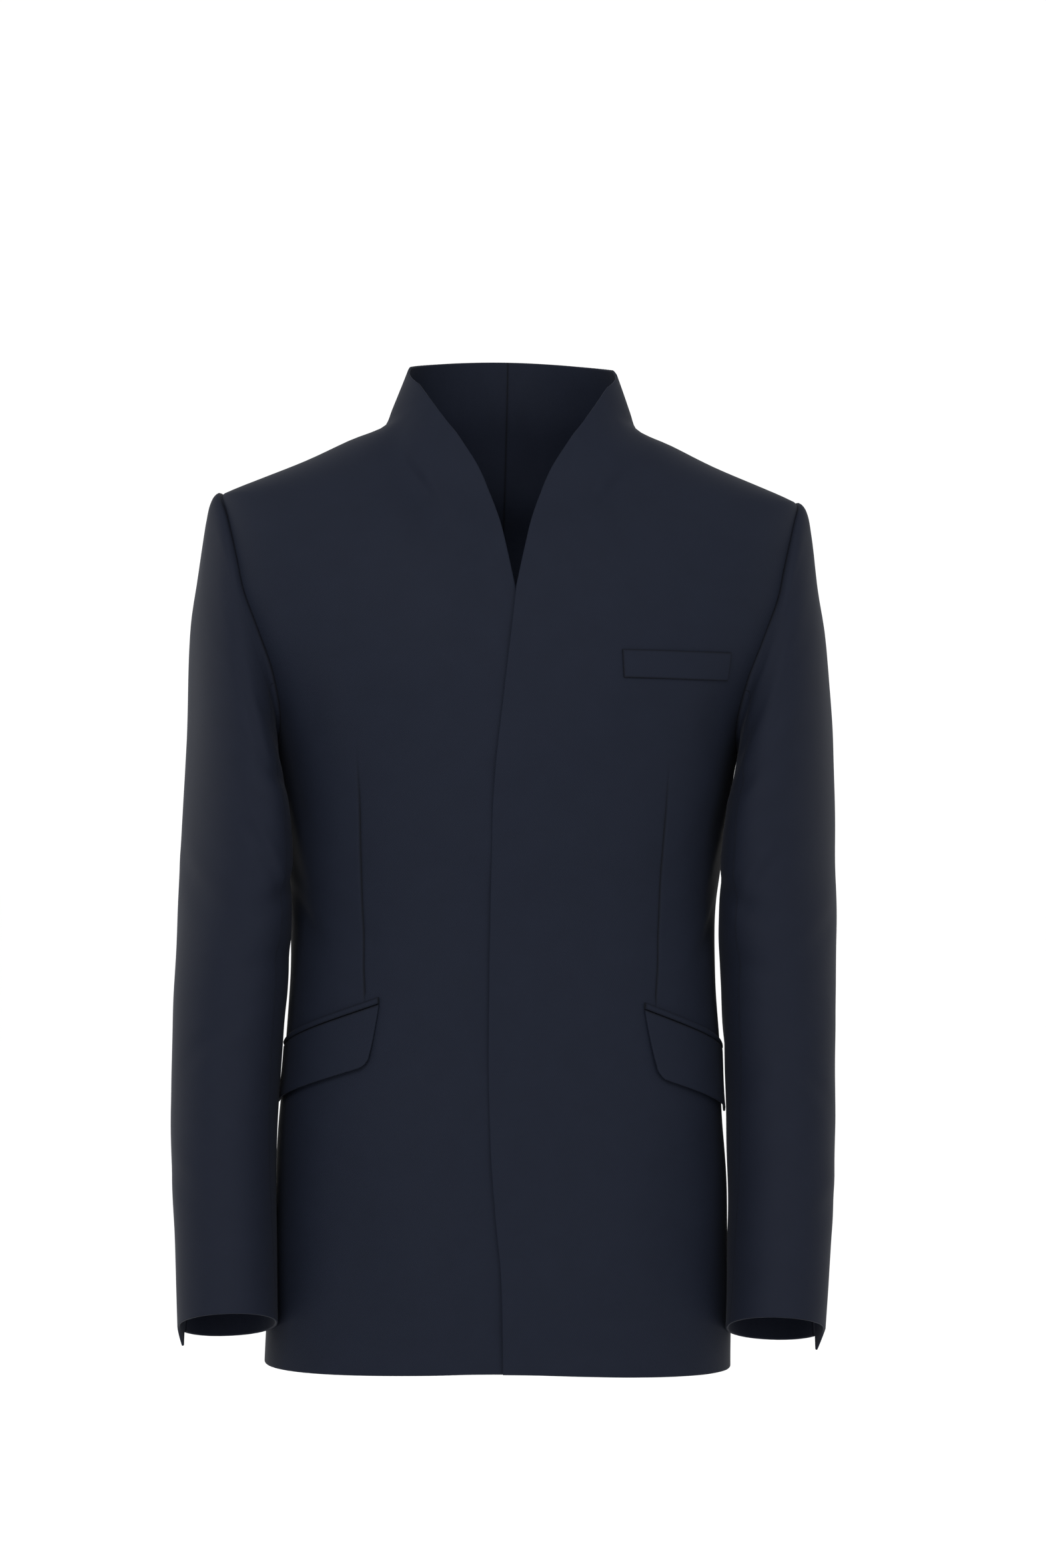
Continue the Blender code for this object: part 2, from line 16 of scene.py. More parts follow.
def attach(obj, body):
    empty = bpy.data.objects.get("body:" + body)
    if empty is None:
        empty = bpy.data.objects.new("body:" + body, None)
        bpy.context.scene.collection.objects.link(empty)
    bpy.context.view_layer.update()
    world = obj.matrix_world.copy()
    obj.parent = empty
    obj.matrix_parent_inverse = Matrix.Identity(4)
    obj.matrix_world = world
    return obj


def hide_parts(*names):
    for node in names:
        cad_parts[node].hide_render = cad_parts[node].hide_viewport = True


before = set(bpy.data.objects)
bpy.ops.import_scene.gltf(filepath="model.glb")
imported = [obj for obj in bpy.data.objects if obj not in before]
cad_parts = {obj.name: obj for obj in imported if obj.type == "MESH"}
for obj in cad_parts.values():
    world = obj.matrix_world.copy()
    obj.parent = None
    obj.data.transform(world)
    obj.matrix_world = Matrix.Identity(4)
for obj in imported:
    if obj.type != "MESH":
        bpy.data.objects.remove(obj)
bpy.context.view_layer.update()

CLOTH = 0.0020          # wall of a panel
SEAM_GAP = 0.00004      # between two panels at a seam; at the centre back the halves meet
LAP_SINK = 0.0029       # how far the under front lies below the upper one
SINK_TURNS = (math.radians(10.0), math.radians(26.0))  # it comes back up between these turns
SINK_RISE = (0.014, 0.070)  # and between these heights above the V's point
SOFTEN = 0.013          # how far up and down the form's sections are blended
SOFTEN_FADE = 2.5       # how quickly the blending fades towards the two sides
SOFTEN_PARTS = ((-1.0, 0.125), (-0.5, 0.25), (0.0, 0.25), (0.5, 0.25), (1.0, 0.125))  # shift, weight
SEAM_BACK = 0.006       # the side and shoulder seams lie in a plane this far behind the middle
FOLD_ROLL = 0.00090     # radius of a folded edge
SEAM_ROLL = 0.00065     # radius to which a panel is rolled at a seam
PRESSED_ROLL = 0.00035  # and at a seam that is pressed flat
PAINTED_SHADE_BREADTH = 0.0009  # half the breadth of the painted shade along a seam
PRESSED_PAINTED_SHADE = 0.45    # how dark the painted shade is along a pressed seam, where an open one is 1

# The body: level, half_width, front_depth, back_depth, squareness, middle. The widest place of a
# section lies a distance middle behind the origin.
FIGURE = (
    (-0.735, 0.1800, 0.1210, 0.1200, 2.25, 0.000),
    (-0.640, 0.1765, 0.1200, 0.1200, 2.25, 0.000),
    (-0.555, 0.1722, 0.1175, 0.1170, 2.25, 0.000),
    (-0.490, 0.1677, 0.1160, 0.1100, 2.25, 0.000),
    (-0.420, 0.1636, 0.1165, 0.1040, 2.25, 0.007),
    (-0.380, 0.1650, 0.1185, 0.1035, 2.25, 0.026),
    (-0.330, 0.1711, 0.1225, 0.1070, 2.25, 0.040),
    (-0.290, 0.1757, 0.1250, 0.1120, 2.25, 0.041),
    (-0.250, 0.1815, 0.1265, 0.1165, 2.20, 0.034),
    (-0.196, 0.1970, 0.1255, 0.1195, 2.20, 0.010),
    (-0.163, 0.2120, 0.1215, 0.1195, 2.20, 0.006),
    (-0.122, 0.2243, 0.1110, 0.1170, 2.20, 0.003),
    (-0.084, 0.2238, 0.0972, 0.1082, 2.15, 0.000),
    (-0.060, 0.2228, 0.0800, 0.0922, 2.10, 0.000),
    (-0.055, 0.2207, 0.0770, 0.0892, 2.10, 0.000),
    (-0.050, 0.2105, 0.0757, 0.0878, 2.05, 0.000),
    (-0.043, 0.1935, 0.0742, 0.0862, 2.05, 0.000),
    (-0.028, 0.1570, 0.0708, 0.0825, 2.00, 0.000),
    (-0.012, 0.1235, 0.0668, 0.0782, 2.00, 0.000),
    (0.000, 0.0965, 0.0635, 0.0745, 2.00, 0.000),
    (0.012, 0.0918, 0.0600, 0.0705, 2.00, 0.000),
    (0.027, 0.0862, 0.0570, 0.0680, 2.00, 0.000),
    (0.060, 0.0740, 0.0520, 0.0650, 2.00, 0.000),
)
# The neck's V edge: level, across
V_EDGE = (
    (-0.1276, 0.0000),
    (-0.1100, 0.0037),
    (-0.0952, 0.0070),
    (-0.0800, 0.0107),
    (-0.0647, 0.0155),
    (-0.0493, 0.0213),
    (-0.0338, 0.0286),
    (-0.0181, 0.0385),
    (-0.0021, 0.0494),
    (0.0139, 0.0615),
    (0.0300, 0.0727),
)
V_POINT = -0.1276
# The fronts' edges below the V, both past the centre front: level, across
LAP_EDGE = (
    (-0.7300, -0.0018),
    (-0.6520, -0.0044),
    (-0.6000, -0.0096),
    (-0.5480, -0.0138),
    (-0.4780, -0.0160),
    (-0.4330, -0.0162),
    (-0.3030, -0.0160),
    (-0.2640, -0.0143),
    (-0.2080, -0.0088),
    (-0.1276, 0.0000),
)
NECK_CORNER = 0.0300    # level at which the V edge turns into the stand's top edge
STAND_SIDE = 0.0462     # top of the stand at the shoulder seam
STAND_BACK = 0.0565     # and at the centre back
HEM_FRONT = -0.7135
HEM_SIDE = -0.7205
HEM_BACK = -0.7220
UNDERARM = -0.2500
SHOULDER_TIP = -0.0550
ARMHOLE_FRONT = 0.061   # reach of the armhole forward of its middle
ARMHOLE_BACK = 0.064
ARMHOLE_SLANT = 0.18    # the front scye is cut deeper low down

# The sleeve, ring by ring from the armhole: the crest is the outermost point of a ring and the pit the
# innermost. tilt is a ring's fall per metre towards the back, and skew its run inwards per metre
# towards the front. loose is its share of the armhole's own curve.
# crest_x, crest_level, pit_x, pit_level, middle_y, half_depth, tilt, skew, loose
SLEEVE = (
    (0.2207, -0.0550, 0.1785, -0.2500, 0.006, 0.0610, 0.00, 0.000, 1.00),
    (0.2236, -0.0538, 0.1803, -0.2505, 0.006, 0.0618, 0.00, 0.010, 0.95),
    (0.2272, -0.0563, 0.1815, -0.2525, 0.006, 0.0630, 0.00, 0.035, 0.85),
    (0.2312, -0.0645, 0.1812, -0.2560, 0.006, 0.0645, 0.00, 0.065, 0.72),
    (0.2340, -0.0780, 0.1792, -0.2620, 0.006, 0.0662, 0.00, 0.095, 0.55),
    (0.2390, -0.1180, 0.1772, -0.2705, 0.004, 0.0690, 0.00, 0.145, 0.25),
    (0.2434, -0.1560, 0.1748, -0.2800, 0.001, 0.0708, 0.00, 0.205, 0.05),
    (0.2452, -0.2050, 0.1723, -0.2930, -0.004, 0.0705, 0.00, 0.250, 0.00),
    (0.2466, -0.2600, 0.1700, -0.3120, -0.008, 0.0690, 0.00, 0.280, 0.00),
    (0.2486, -0.3200, 0.1672, -0.3420, -0.010, 0.0670, 0.03, 0.270, 0.00),
    (0.2523, -0.3780, 0.1656, -0.3840, -0.011, 0.0645, 0.08, 0.205, 0.00),
    (0.2544, -0.4350, 0.1670, -0.4350, -0.014, 0.0620, 0.14, 0.125, 0.00),
    (0.2544, -0.4950, 0.1699, -0.4950, -0.020, 0.0595, 0.20, 0.060, 0.00),
    (0.2530, -0.5750, 0.1722, -0.5750, -0.034, 0.0560, 0.26, 0.020, 0.00),
    (0.2493, -0.6250, 0.1714, -0.6250, -0.045, 0.0535, 0.28, 0.000, 0.00),
    (0.2438, -0.6980, 0.1690, -0.6940, -0.063, 0.0500, 0.30, 0.000, 0.00),
)
SLEEVE_SQUARENESS = 2.15
# How far the left sleeve's crest lies outside its ring, and the right one's inside, as the two hang
# unevenly: share of the length, swing
SLEEVE_SWING = (
    (0.00, 0.0000),
    (0.08, 0.0003),
    (0.19, 0.0025),
    (0.30, 0.0042),
    (0.45, 0.0042),
    (0.54, 0.0030),
    (0.62, 0.0012),
    (0.80, 0.0012),
    (1.00, 0.0000),
)
# The sleeve's two seams, in degrees round from the crest: share of the length, front_seam, hind_seam
SLEEVE_SEAMS = (
    (0.00, 120.0, -120.0),
    (0.45, 126.0, -104.0),
    (0.75, 142.0, -66.0),
    (1.00, 165.0, -22.0),
)
VENT_LENGTH = 0.16      # share of the sleeve's length that the hind seam stays open
VENT_SPREAD = 4.0       # opening at the cuff, in degrees on each side
CUFF_RISE = 0.017       # share of the length that the hem lies above the vent's pointed corner

# The body's creases, each a line that is pushed in or out. side is 1 for the wearer's left, -1 for the
# right and 0 for both. lip is the share of the height that comes back as a ridge beside the line.
# side, start_turn, start_level, end_turn, end_level, half_breadth, height, lip
BODY_CREASES = (
    (-1, 66.0, -0.008, 33.0, -0.085, 0.0090, -0.0030, 0.0),
    (-1, 56.0, -0.026, 37.0, -0.064, 0.0034, -0.0013, 0.5),
    (-1, 40.0, -0.058, 24.0, -0.092, 0.0062, -0.0009, 0.3),
    (1, 68.0, -0.014, 38.0, -0.070, 0.0090, -0.0022, 0.0),
    (1, 53.0, -0.038, 40.0, -0.061, 0.0036, -0.0008, 0.5),
    (-1, 76.0, -0.290, 66.0, -0.400, 0.0160, -0.0030, 0.0),
    (1, 78.0, -0.300, 68.0, -0.390, 0.0160, -0.0022, 0.0),
    (0, 112.0, -0.350, 150.0, -0.372, 0.0130, -0.0026, 0.0),
    (0, 108.0, -0.405, 145.0, -0.392, 0.0120, -0.0022, 0.0),
    (-1, 62.0, -0.178, 55.0, -0.238, 0.0105, -0.0016, 0.4),
    (1, 63.0, -0.190, 57.0, -0.250, 0.0115, -0.0014, 0.4),
    (-1, 70.0, -0.262, 58.0, -0.318, 0.0080, -0.0013, -0.5),
    (1, 72.0, -0.268, 60.0, -0.335, 0.0095, -0.0016, -0.5),
    (-1, 82.0, -0.352, 62.0, -0.392, 0.0070, -0.0012, 0.6),
    (1, 80.0, -0.362, 64.0, -0.408, 0.0080, -0.0014, 0.6),
    (-1, 30.0, -0.330, 8.0, -0.352, 0.0140, -0.0009, 0.4),
    (1, 26.0, -0.345, 4.0, -0.362, 0.0150, -0.0008, 0.4),
    (-1, 52.0, -0.560, 46.0, -0.700, 0.0190, -0.0016, 0.5),
    (1, 58.0, -0.540, 55.0, -0.705, 0.0210, -0.0018, 0.5),
    (0, 26.0, -0.585, 24.0, -0.712, 0.0240, 0.0013, 0.0),
    (-1, 120.0, -0.150, 146.0, -0.182, 0.0110, -0.0016, 0.5),
    (1, 118.0, -0.162, 142.0, -0.200, 0.0120, -0.0018, 0.5),
    (-1, 114.0, -0.246, 136.0, -0.300, 0.0120, -0.0018, 0.5),
    (1, 112.0, -0.258, 138.0, -0.306, 0.0110, -0.0016, 0.5),
    (-1, 150.0, -0.352, 176.0, -0.362, 0.0090, -0.0016, 0.6),
    (1, 148.0, -0.366, 172.0, -0.378, 0.0100, -0.0018, 0.6),
    (-1, 128.0, -0.500, 134.0, -0.690, 0.0200, -0.0022, 0.4),
    (1, 124.0, -0.520, 128.0, -0.695, 0.0210, -0.0022, 0.4),
    (0, 158.0, -0.560, 160.0, -0.700, 0.0220, 0.0016, 0.0),
)
# The sleeves' creases, with degrees round from the crest and shares of the length:
# side, start_round, start_share, end_round, end_share, half_breadth, height, lip
SLEEVE_CREASES = (
    (0, 95.0, 0.50, 165.0, 0.43, 0.0110, -0.0032, 0.0),
    (0, 90.0, 0.57, 160.0, 0.55, 0.0110, -0.0030, 0.0),
    (0, 80.0, 0.30, 140.0, 0.20, 0.0120, -0.0026, 0.0),
    (-1, 20.0, 0.47, 100.0, 0.54, 0.0130, -0.0018, 0.0),
    (1, 30.0, 0.60, 110.0, 0.66, 0.0130, -0.0018, 0.0),
    (0, -95.0, 0.48, -60.0, 0.60, 0.0140, -0.0020, 0.0),
    (-1, 62.0, 0.36, 124.0, 0.47, 0.0060, -0.0014, 0.6),
    (-1, 100.0, 0.63, 46.0, 0.68, 0.0075, -0.0013, 0.5),
    (-1, -8.0, 0.44, 52.0, 0.50, 0.0085, -0.0013, 0.5),
    (-1, 8.0, 0.80, 70.0, 0.845, 0.0095, -0.0013, 0.5),
    (-1, 74.0, 0.10, 92.0, 0.26, 0.0115, -0.0014, -0.4),
    (1, 66.0, 0.40, 120.0, 0.49, 0.0065, -0.0014, 0.6),
    (1, 104.0, 0.66, 40.0, 0.72, 0.0080, -0.0012, 0.5),
    (1, 4.0, 0.49, 60.0, 0.545, 0.0085, -0.0012, 0.5),
    (1, 12.0, 0.83, 66.0, 0.87, 0.0095, -0.0014, 0.5),
    (1, 70.0, 0.12, 88.0, 0.28, 0.0120, -0.0013, -0.4),
    (0, 30.0, 0.12, 36.0, 0.40, 0.0200, 0.0012, 0.0),
    (-1, -44.0, 0.42, -98.0, 0.50, 0.0085, -0.0018, 0.6),
    (-1, -50.0, 0.53, -104.0, 0.55, 0.0085, -0.0016, 0.6),
    (1, -40.0, 0.45, -94.0, 0.52, 0.0085, -0.0018, 0.6),
    (1, -52.0, 0.56, -100.0, 0.59, 0.0090, -0.0016, 0.6),
    (0, -70.0, 0.16, -110.0, 0.27, 0.0110, -0.0018, 0.5),
    (0, -20.0, 0.72, -62.0, 0.80, 0.0110, -0.0012, 0.5),
    (0, 175.0, 0.34, 215.0, 0.44, 0.0090, -0.0016, 0.5),
    (0, 170.0, 0.62, 212.0, 0.70, 0.0100, -0.0014, 0.5),
)
BODY_RADIUS = 0.125     # turns a body crease's angles into lengths
GRAIN_STRETCH = 1.15    # the cloth round the body is this much longer than that radius makes it
SLEEVE_RADIUS = 0.052
SLEEVE_LENGTH = 0.640
CREASES_FADE = math.radians(160.0)  # from this turn to the centre back, where the halves must meet
CREASE_ENDS = 0.35      # share of a crease's height that is left at its two ends
LIP_PLACE = 1.9         # where a crease's ridge lies beside its line, in half breadths

# Front darts: side, top_across, top_level, bottom_across, bottom_level
DARTS = (
    (-1, 0.1170, -0.2454, 0.1087, -0.4363),
    (1, 0.1182, -0.2502, 0.1109, -0.4382),
)
DART_REACH = -0.20      # level up to which a dart's line is carried on
DART_DEPTH = 0.0011
DART_BREADTH = 0.0008
DART_PINCH = 0.0011     # the soft hollow along a dart
DART_PINCH_BREADTH = 0.016
DART_STRETCH = 1.1      # the form is this much wider at a dart than BODY_RADIUS makes it
DART_FOOT = (-0.003, 0.004)  # a dart fades in between these heights about its bottom
DART_HEAD = (-0.060, 0.004)  # and out between these about its top
FREE_COLUMN = 0.42      # above a dart its column of points lies at this share of a row
FREE_LEVELS = (-0.235, -0.120)  # and goes over to that place between these levels

# The cloth is never quite even: long low waves of this height, between these lengths
WAVE_HEIGHT = 0.00032
WAVE_SHORT = 0.07
WAVE_LONG = 0.24
WAVE_COUNT = 9
WAVE_SEED = 11

# The chest welt's corners on the wearer's left front: across, level
WELT_TOP_FRONT = (0.0797, -0.1733)
WELT_TOP_SIDE = (0.1647, -0.1735)
WELT_BOTTOM_FRONT = (0.0807, -0.1944)
WELT_BOTTOM_SIDE = (0.1630, -0.1948)
WELT_LENGTH = 0.085
WELT_HEIGHT = 0.0213
WELT_RISE = 0.0016
WELT_FOOT = 0.0003
WELT_ROLLS = (0.0005, 0.0009)  # radii of its folded and its sewn edges

# The flaps: side, top_turn, bottom_turn of the front end, front_level, back_level, depth
FLAPS = (
    (-1, 43.5, 47.6, -0.4405, -0.478, 0.0425),
    (1, 45.2, 50.6, -0.4425, -0.478, 0.0465),
)
FLAP_BACK_TURN = 86.0
FLAP_CORNER = 0.0058    # radius of the flap's front bottom corner
FLAP_CLOTH = 0.0019
FLAP_LIFT_TOP = 0.0004  # between the flap and the front, at its top and at its free edge
FLAP_LIFT_BOTTOM = 0.0026
FLAP_SETTLE = 0.6       # share of that lift that is lost at the flap's back end
FLAP_SETTLE_FROM = 0.80  # share of the flap's length at which it begins to settle
FLAP_ROLLS = (0.00085, 0.0006)  # radii of its folded and its sewn edges
JET_HEIGHT = 0.0050
JET_GAP = 0.0005
JET_RISE = 0.0024
JET_EDGE = 0.0007       # wall of a jet at its sewn edges
JET_FOOT = 0.0003
JET_FULLNESS = 0.6      # power of its rounded top; a lower one is fuller
JET_ROLLS = (0.0003, 0.0003)

# How each piece's edges are finished: its first and last column, and its bottom and top row
FRONT_EDGES = dict(start="fold", end="seam", bottom="fold", top="fold")
BACK_EDGES = dict(start="seam", end="seam", bottom="fold", top="fold")
SLEEVE_EDGES = dict(start="pressed", end="pressed", bottom="seam", top="fold")
FLAP_EDGES = dict(start="fold", end="seam", bottom="fold", top="seam")
ALL_SEAMS = dict(start="seam", end="seam", bottom="seam", top="seam")

# Where a cloth's outer and inner face lie in the map for baking: size, start
OUTER_CHART = ((0.60, 0.96), (0.02, 0.02))
INNER_CHART = ((0.32, 0.96), (0.66, 0.02))
CHART_RIM = 0.006       # breadth of the rim's strip in that map
CHART_EDGE = 0.38       # how far from a chart's middle a rim point counts as on its edge

# The grids: first steps from a rolled edge, a dart and the shoulder's tip, then rows and columns
ROLL_STEPS = (0.0, 0.00020, 0.00045, 0.00090, 0.0017, 0.0034)
DART_STEPS = (0.0, 0.00045, 0.0009, 0.0018, 0.0036)
TIP_STEPS = (0.0, 0.0003, 0.0009)
RIM_STEP = 0.00025      # between the points that stand for a rim line
ROW_STEPS = 161         # fine places along a row, from which its columns are chosen
NEAR_EDGE = 9           # rows and columns from an edge that its roll can reach
HEM_ROWS = 92
ARMHOLE_ROWS = 61
SHOULDER_ROWS = 16
STAND_ROWS = 12
FRONT_EDGE_COLUMNS = 38
FRONT_SIDE_COLUMNS = 36
BACK_COLUMNS = 62
HEAD_ROWS = 22
SLEEVE_ROWS = 96
TOP_COLUMNS = 76
UNDER_COLUMNS = 44
WELT_ROWS = 14
WELT_COLUMNS = 56
FLAP_ROWS = 30
FLAP_COLUMNS = 74
JET_ROWS = 8


def curve(knots, values):
    """A smooth curve through the values that never overshoots them, as a function of the knots."""
    knots = np.asarray(knots, float)
    values = np.asarray(values, float)
    shape = (-1,) + (1,) * (values.ndim - 1)
    steps = np.diff(knots).reshape(shape)
    rises = np.diff(values, axis=0) / steps
    slopes = np.zeros_like(values)
    slopes[0] = rises[0]
    slopes[-1] = rises[-1]
    before, after = rises[:-1], rises[1:]
    weight_before = 2 * steps[1:] + steps[:-1]
    weight_after = steps[1:] + 2 * steps[:-1]
    same_way = before * after > 0
    safe_before = np.where(same_way, before, 1.0)
    safe_after = np.where(same_way, after, 1.0)
    mean = (weight_before + weight_after) / (weight_before / safe_before + weight_after / safe_after)
    slopes[1:-1] = np.where(same_way, mean, 0.0)

    def at(where):
        where = np.clip(np.asarray(where, float), knots[0], knots[-1])
        place = np.clip(np.searchsorted(knots, where) - 1, 0, len(knots) - 2)
        width = (knots[place + 1] - knots[place]).reshape(where.shape + (1,) * (values.ndim - 1))
        share = (where - knots[place]).reshape(width.shape) / width
        rest = 1 - share
        return (
            values[place] * (1 + 2 * share) * rest**2
            + slopes[place] * width * share * rest**2
            + values[place + 1] * share**2 * (3 - 2 * share)
            - slopes[place + 1] * width * share**2 * rest
        )

    return at


def column(table, number):
    return curve([row[0] for row in table], [row[number] for row in table])


half_width_at = column(FIGURE, 1)
front_depth_at = column(FIGURE, 2)
back_depth_at = column(FIGURE, 3)
squareness_at = column(FIGURE, 4)
middle_at = column(FIGURE, 5)
v_edge_at = column(V_EDGE, 1)
lap_edge_at = column(LAP_EDGE, 1)
front_seam_at = column(SLEEVE_SEAMS, 1)
hind_seam_at = column(SLEEVE_SEAMS, 2)
swing_at = column(SLEEVE_SWING, 1)


def ease(value, start, end):
    """0 at start and 1 at end, level at both."""
    share = np.clip((value - start) / (end - start), 0.0, 1.0)
    return share * share * (3 - 2 * share)


def section_point(turn, level):
    """A point of one section; turn is 0 at the centre front and pi at the centre back."""
    middle = middle_at(level)
    depth = np.where(np.cos(turn) > 0, front_depth_at(level) + middle, back_depth_at(level) - middle)
    power = squareness_at(level)
    wide = np.abs(np.sin(turn)) / half_width_at(level)
    deep = np.abs(np.cos(turn)) / depth
    reach = (wide**power + deep**power) ** (-1 / power)
    return np.stack([reach * np.sin(turn), middle - reach * np.cos(turn)], axis=-1)


def body(turn, level):
    """A point of the bare form: the sections, softened up and down but for their two sides."""
    spread = SOFTEN * np.minimum(1.0, SOFTEN_FADE * np.abs(np.cos(turn)))
    flat = sum(weight * section_point(turn, level + shift * spread) for shift, weight in SOFTEN_PARTS)
    return np.concatenate([flat, (level + 0 * turn)[..., None]], axis=-1)


def turn_at_depth(back, level):
    """The turn at which the form lies a distance back from the origin, on the wearer's left."""
    middle = middle_at(level)
    behind = back - middle
    depth = np.where(behind < 0, front_depth_at(level) + middle, back_depth_at(level) - middle)
    power = squareness_at(level)
    across = half_width_at(level) * (1 - (np.abs(behind) / depth) ** power) ** (1 / power)
    return np.arctan2(across, -behind)


def turn_at_width(across, level):
    """The turn on the front at which the form lies a distance across."""
    power = squareness_at(level)
    share = np.abs(across) / half_width_at(level)
    forward = (front_depth_at(level) + middle_at(level)) * (1 - share**power) ** (1 / power)
    return np.arctan2(across, forward)


def normals(surface, first, second, step=4e-4):
    """Unit normals of a surface that is a function of two numbers."""
    along_first = surface(first + step, second) - surface(first - step, second)
    along_second = surface(first, second + step) - surface(first, second - step)
    normal = np.cross(along_first, along_second)
    return normal / np.linalg.norm(normal, axis=-1, keepdims=True)


def in_lengths(creases, radius, length):
    """The crease rows with their degrees and shares turned into metres."""
    return [
        (row[0], math.radians(row[1]) * radius, row[2] * length, math.radians(row[3]) * radius,
         row[4] * length) + row[5:]
        for row in creases
    ]


BODY_LINES = in_lengths(BODY_CREASES, BODY_RADIUS, 1.0)
SLEEVE_LINES = in_lengths(SLEEVE_CREASES, SLEEVE_RADIUS, SLEEVE_LENGTH)


def crease_height(creases, side, across, along):
    """The sum of the creases that reach a place; across and along are lengths."""
    total = np.zeros_like(across + along)
    for crease_side, start_across, start_along, end_across, end_along, breadth, height, lip in creases:
        if crease_side not in (0, side):
            continue
        run_across = end_across - start_across
        run_along = end_along - start_along
        length = math.hypot(run_across, run_along)
        off_across = across - start_across
        off_along = along - start_along
        share = (off_across * run_across + off_along * run_along) / length**2
        near = np.clip(share, 0.0, 1.0)
        apart = np.hypot(off_across - near * run_across, off_along - near * run_along) / breadth
        aside = (off_across * run_along - off_along * run_across) / length / breadth
        beyond = (share - near) * length / breadth
        ridge = np.exp(-((aside - LIP_PLACE) ** 2)) * np.exp(-(beyond**2))
        shape = np.exp(-(apart**2)) - lip * ridge
        total = total + height * shape * (CREASE_ENDS + (1 - CREASE_ENDS) * np.sin(math.pi * near))
    return total


def cloth_waves(seed):
    """A sum of long low waves over a cloth, as a function of two lengths."""
    draw = np.random.default_rng(seed)
    lengths = draw.uniform(WAVE_SHORT, WAVE_LONG, WAVE_COUNT)
    ways = draw.uniform(0.0, math.pi, WAVE_COUNT)
    starts = draw.uniform(0.0, 2 * math.pi, WAVE_COUNT)

    def height(across, along):
        total = 0.0
        for length, way, start in zip(lengths, ways, starts):
            run = across * math.cos(way) + along * math.sin(way)
            total = total + np.sin(run * 2 * math.pi / length + start)
        return WAVE_HEIGHT * total / math.sqrt(WAVE_COUNT / 2)

    return height


BODY_WAVES = {1: cloth_waves(WAVE_SEED), -1: cloth_waves(WAVE_SEED + 1)}
SLEEVE_WAVES = {1: cloth_waves(WAVE_SEED + 2), -1: cloth_waves(WAVE_SEED + 3)}


def body_skin(side, sunk):
    """The outer face of the body cloth on one side; sunk is true for the under front's lap."""

    def skin(turn, level):
        height = crease_height(BODY_LINES, side, turn * BODY_RADIUS, level)
        height = height + BODY_WAVES[side](turn * BODY_RADIUS, level)
        height = height * (1 - ease(turn, CREASES_FADE, math.pi))
        if sunk:
            below = 1 - ease(turn, *SINK_TURNS)
            risen = ease(level, V_POINT + SINK_RISE[0], V_POINT + SINK_RISE[1])
            height = height - LAP_SINK * below * (1 - risen)
        return body(turn, level) + height[..., None] * normals(body, turn, level)

    return skin


def hem_level(turn):
    front = HEM_FRONT + (HEM_SIDE - HEM_FRONT) * np.sin(np.clip(turn, 0, math.pi / 2)) ** 2
    back = HEM_BACK + (HEM_SIDE - HEM_BACK) * np.sin(turn) ** 2
    return np.where(turn < math.pi / 2, front, back)


def armhole(angle, trim):
    """How far back and how high the armhole runs; angle is 0 at the shoulder and pi at the underarm."""
    middle = (SHOULDER_TIP + UNDERARM) / 2
    half_height = (SHOULDER_TIP - UNDERARM) / 2 - trim
    forward = (ARMHOLE_FRONT - trim) * (1 - ARMHOLE_SLANT * np.cos(angle))
    rearward = ARMHOLE_BACK - trim
    sine = np.sin(angle)
    back = SEAM_BACK - np.where(sine > 0, forward, rearward) * sine
    return back, middle + half_height * np.cos(angle)


def steps_between(start, end, count, first=(0.0,), last=(0.0,)):
    """Places from start to end: the fixed first steps, even ones, and the fixed last steps."""
    low = start + np.asarray(first)
    high = end - np.asarray(last)[::-1]
    return np.concatenate([low, np.linspace(low[-1], high[0], count + 2)[1:-1], high])


def outer_edge(front):
    """The panel's edge along the side seam, armhole, shoulder seam and stand: turns and levels."""
    facing = 1 if front else -1
    seam = SEAM_BACK - facing * SEAM_GAP / 2
    angles = np.linspace(math.pi, 0.0, ARMHOLE_ROWS)
    back, armhole_levels = armhole(facing * angles, 0.0)
    back = np.minimum(back, seam) if front else np.maximum(back, seam)
    low = steps_between(HEM_SIDE, UNDERARM, HEM_ROWS, ROLL_STEPS, ROLL_STEPS)[:-1]
    shoulder = steps_between(SHOULDER_TIP, 0.0, SHOULDER_ROWS, TIP_STEPS)[1:]
    stand = steps_between(0.0, STAND_SIDE, STAND_ROWS, (0.0,), ROLL_STEPS)[1:]
    levels = np.concatenate([low, armhole_levels, shoulder, stand])
    depths = np.concatenate([np.full(len(low), seam), back, np.full(len(shoulder) + len(stand), seam)])
    return turn_at_depth(depths, levels), levels


def inner_levels(outer_levels, top):
    """The levels at a panel's other edge: the same as at the seam, but the stand ends at top."""
    return np.where(outer_levels > 0, outer_levels * top / STAND_SIDE, outer_levels)


def front_edge(levels):
    """The turn of a front's V edge and lap edge."""
    across = np.where(levels > V_POINT, v_edge_at(levels), lap_edge_at(levels))
    return turn_at_width(across, levels)


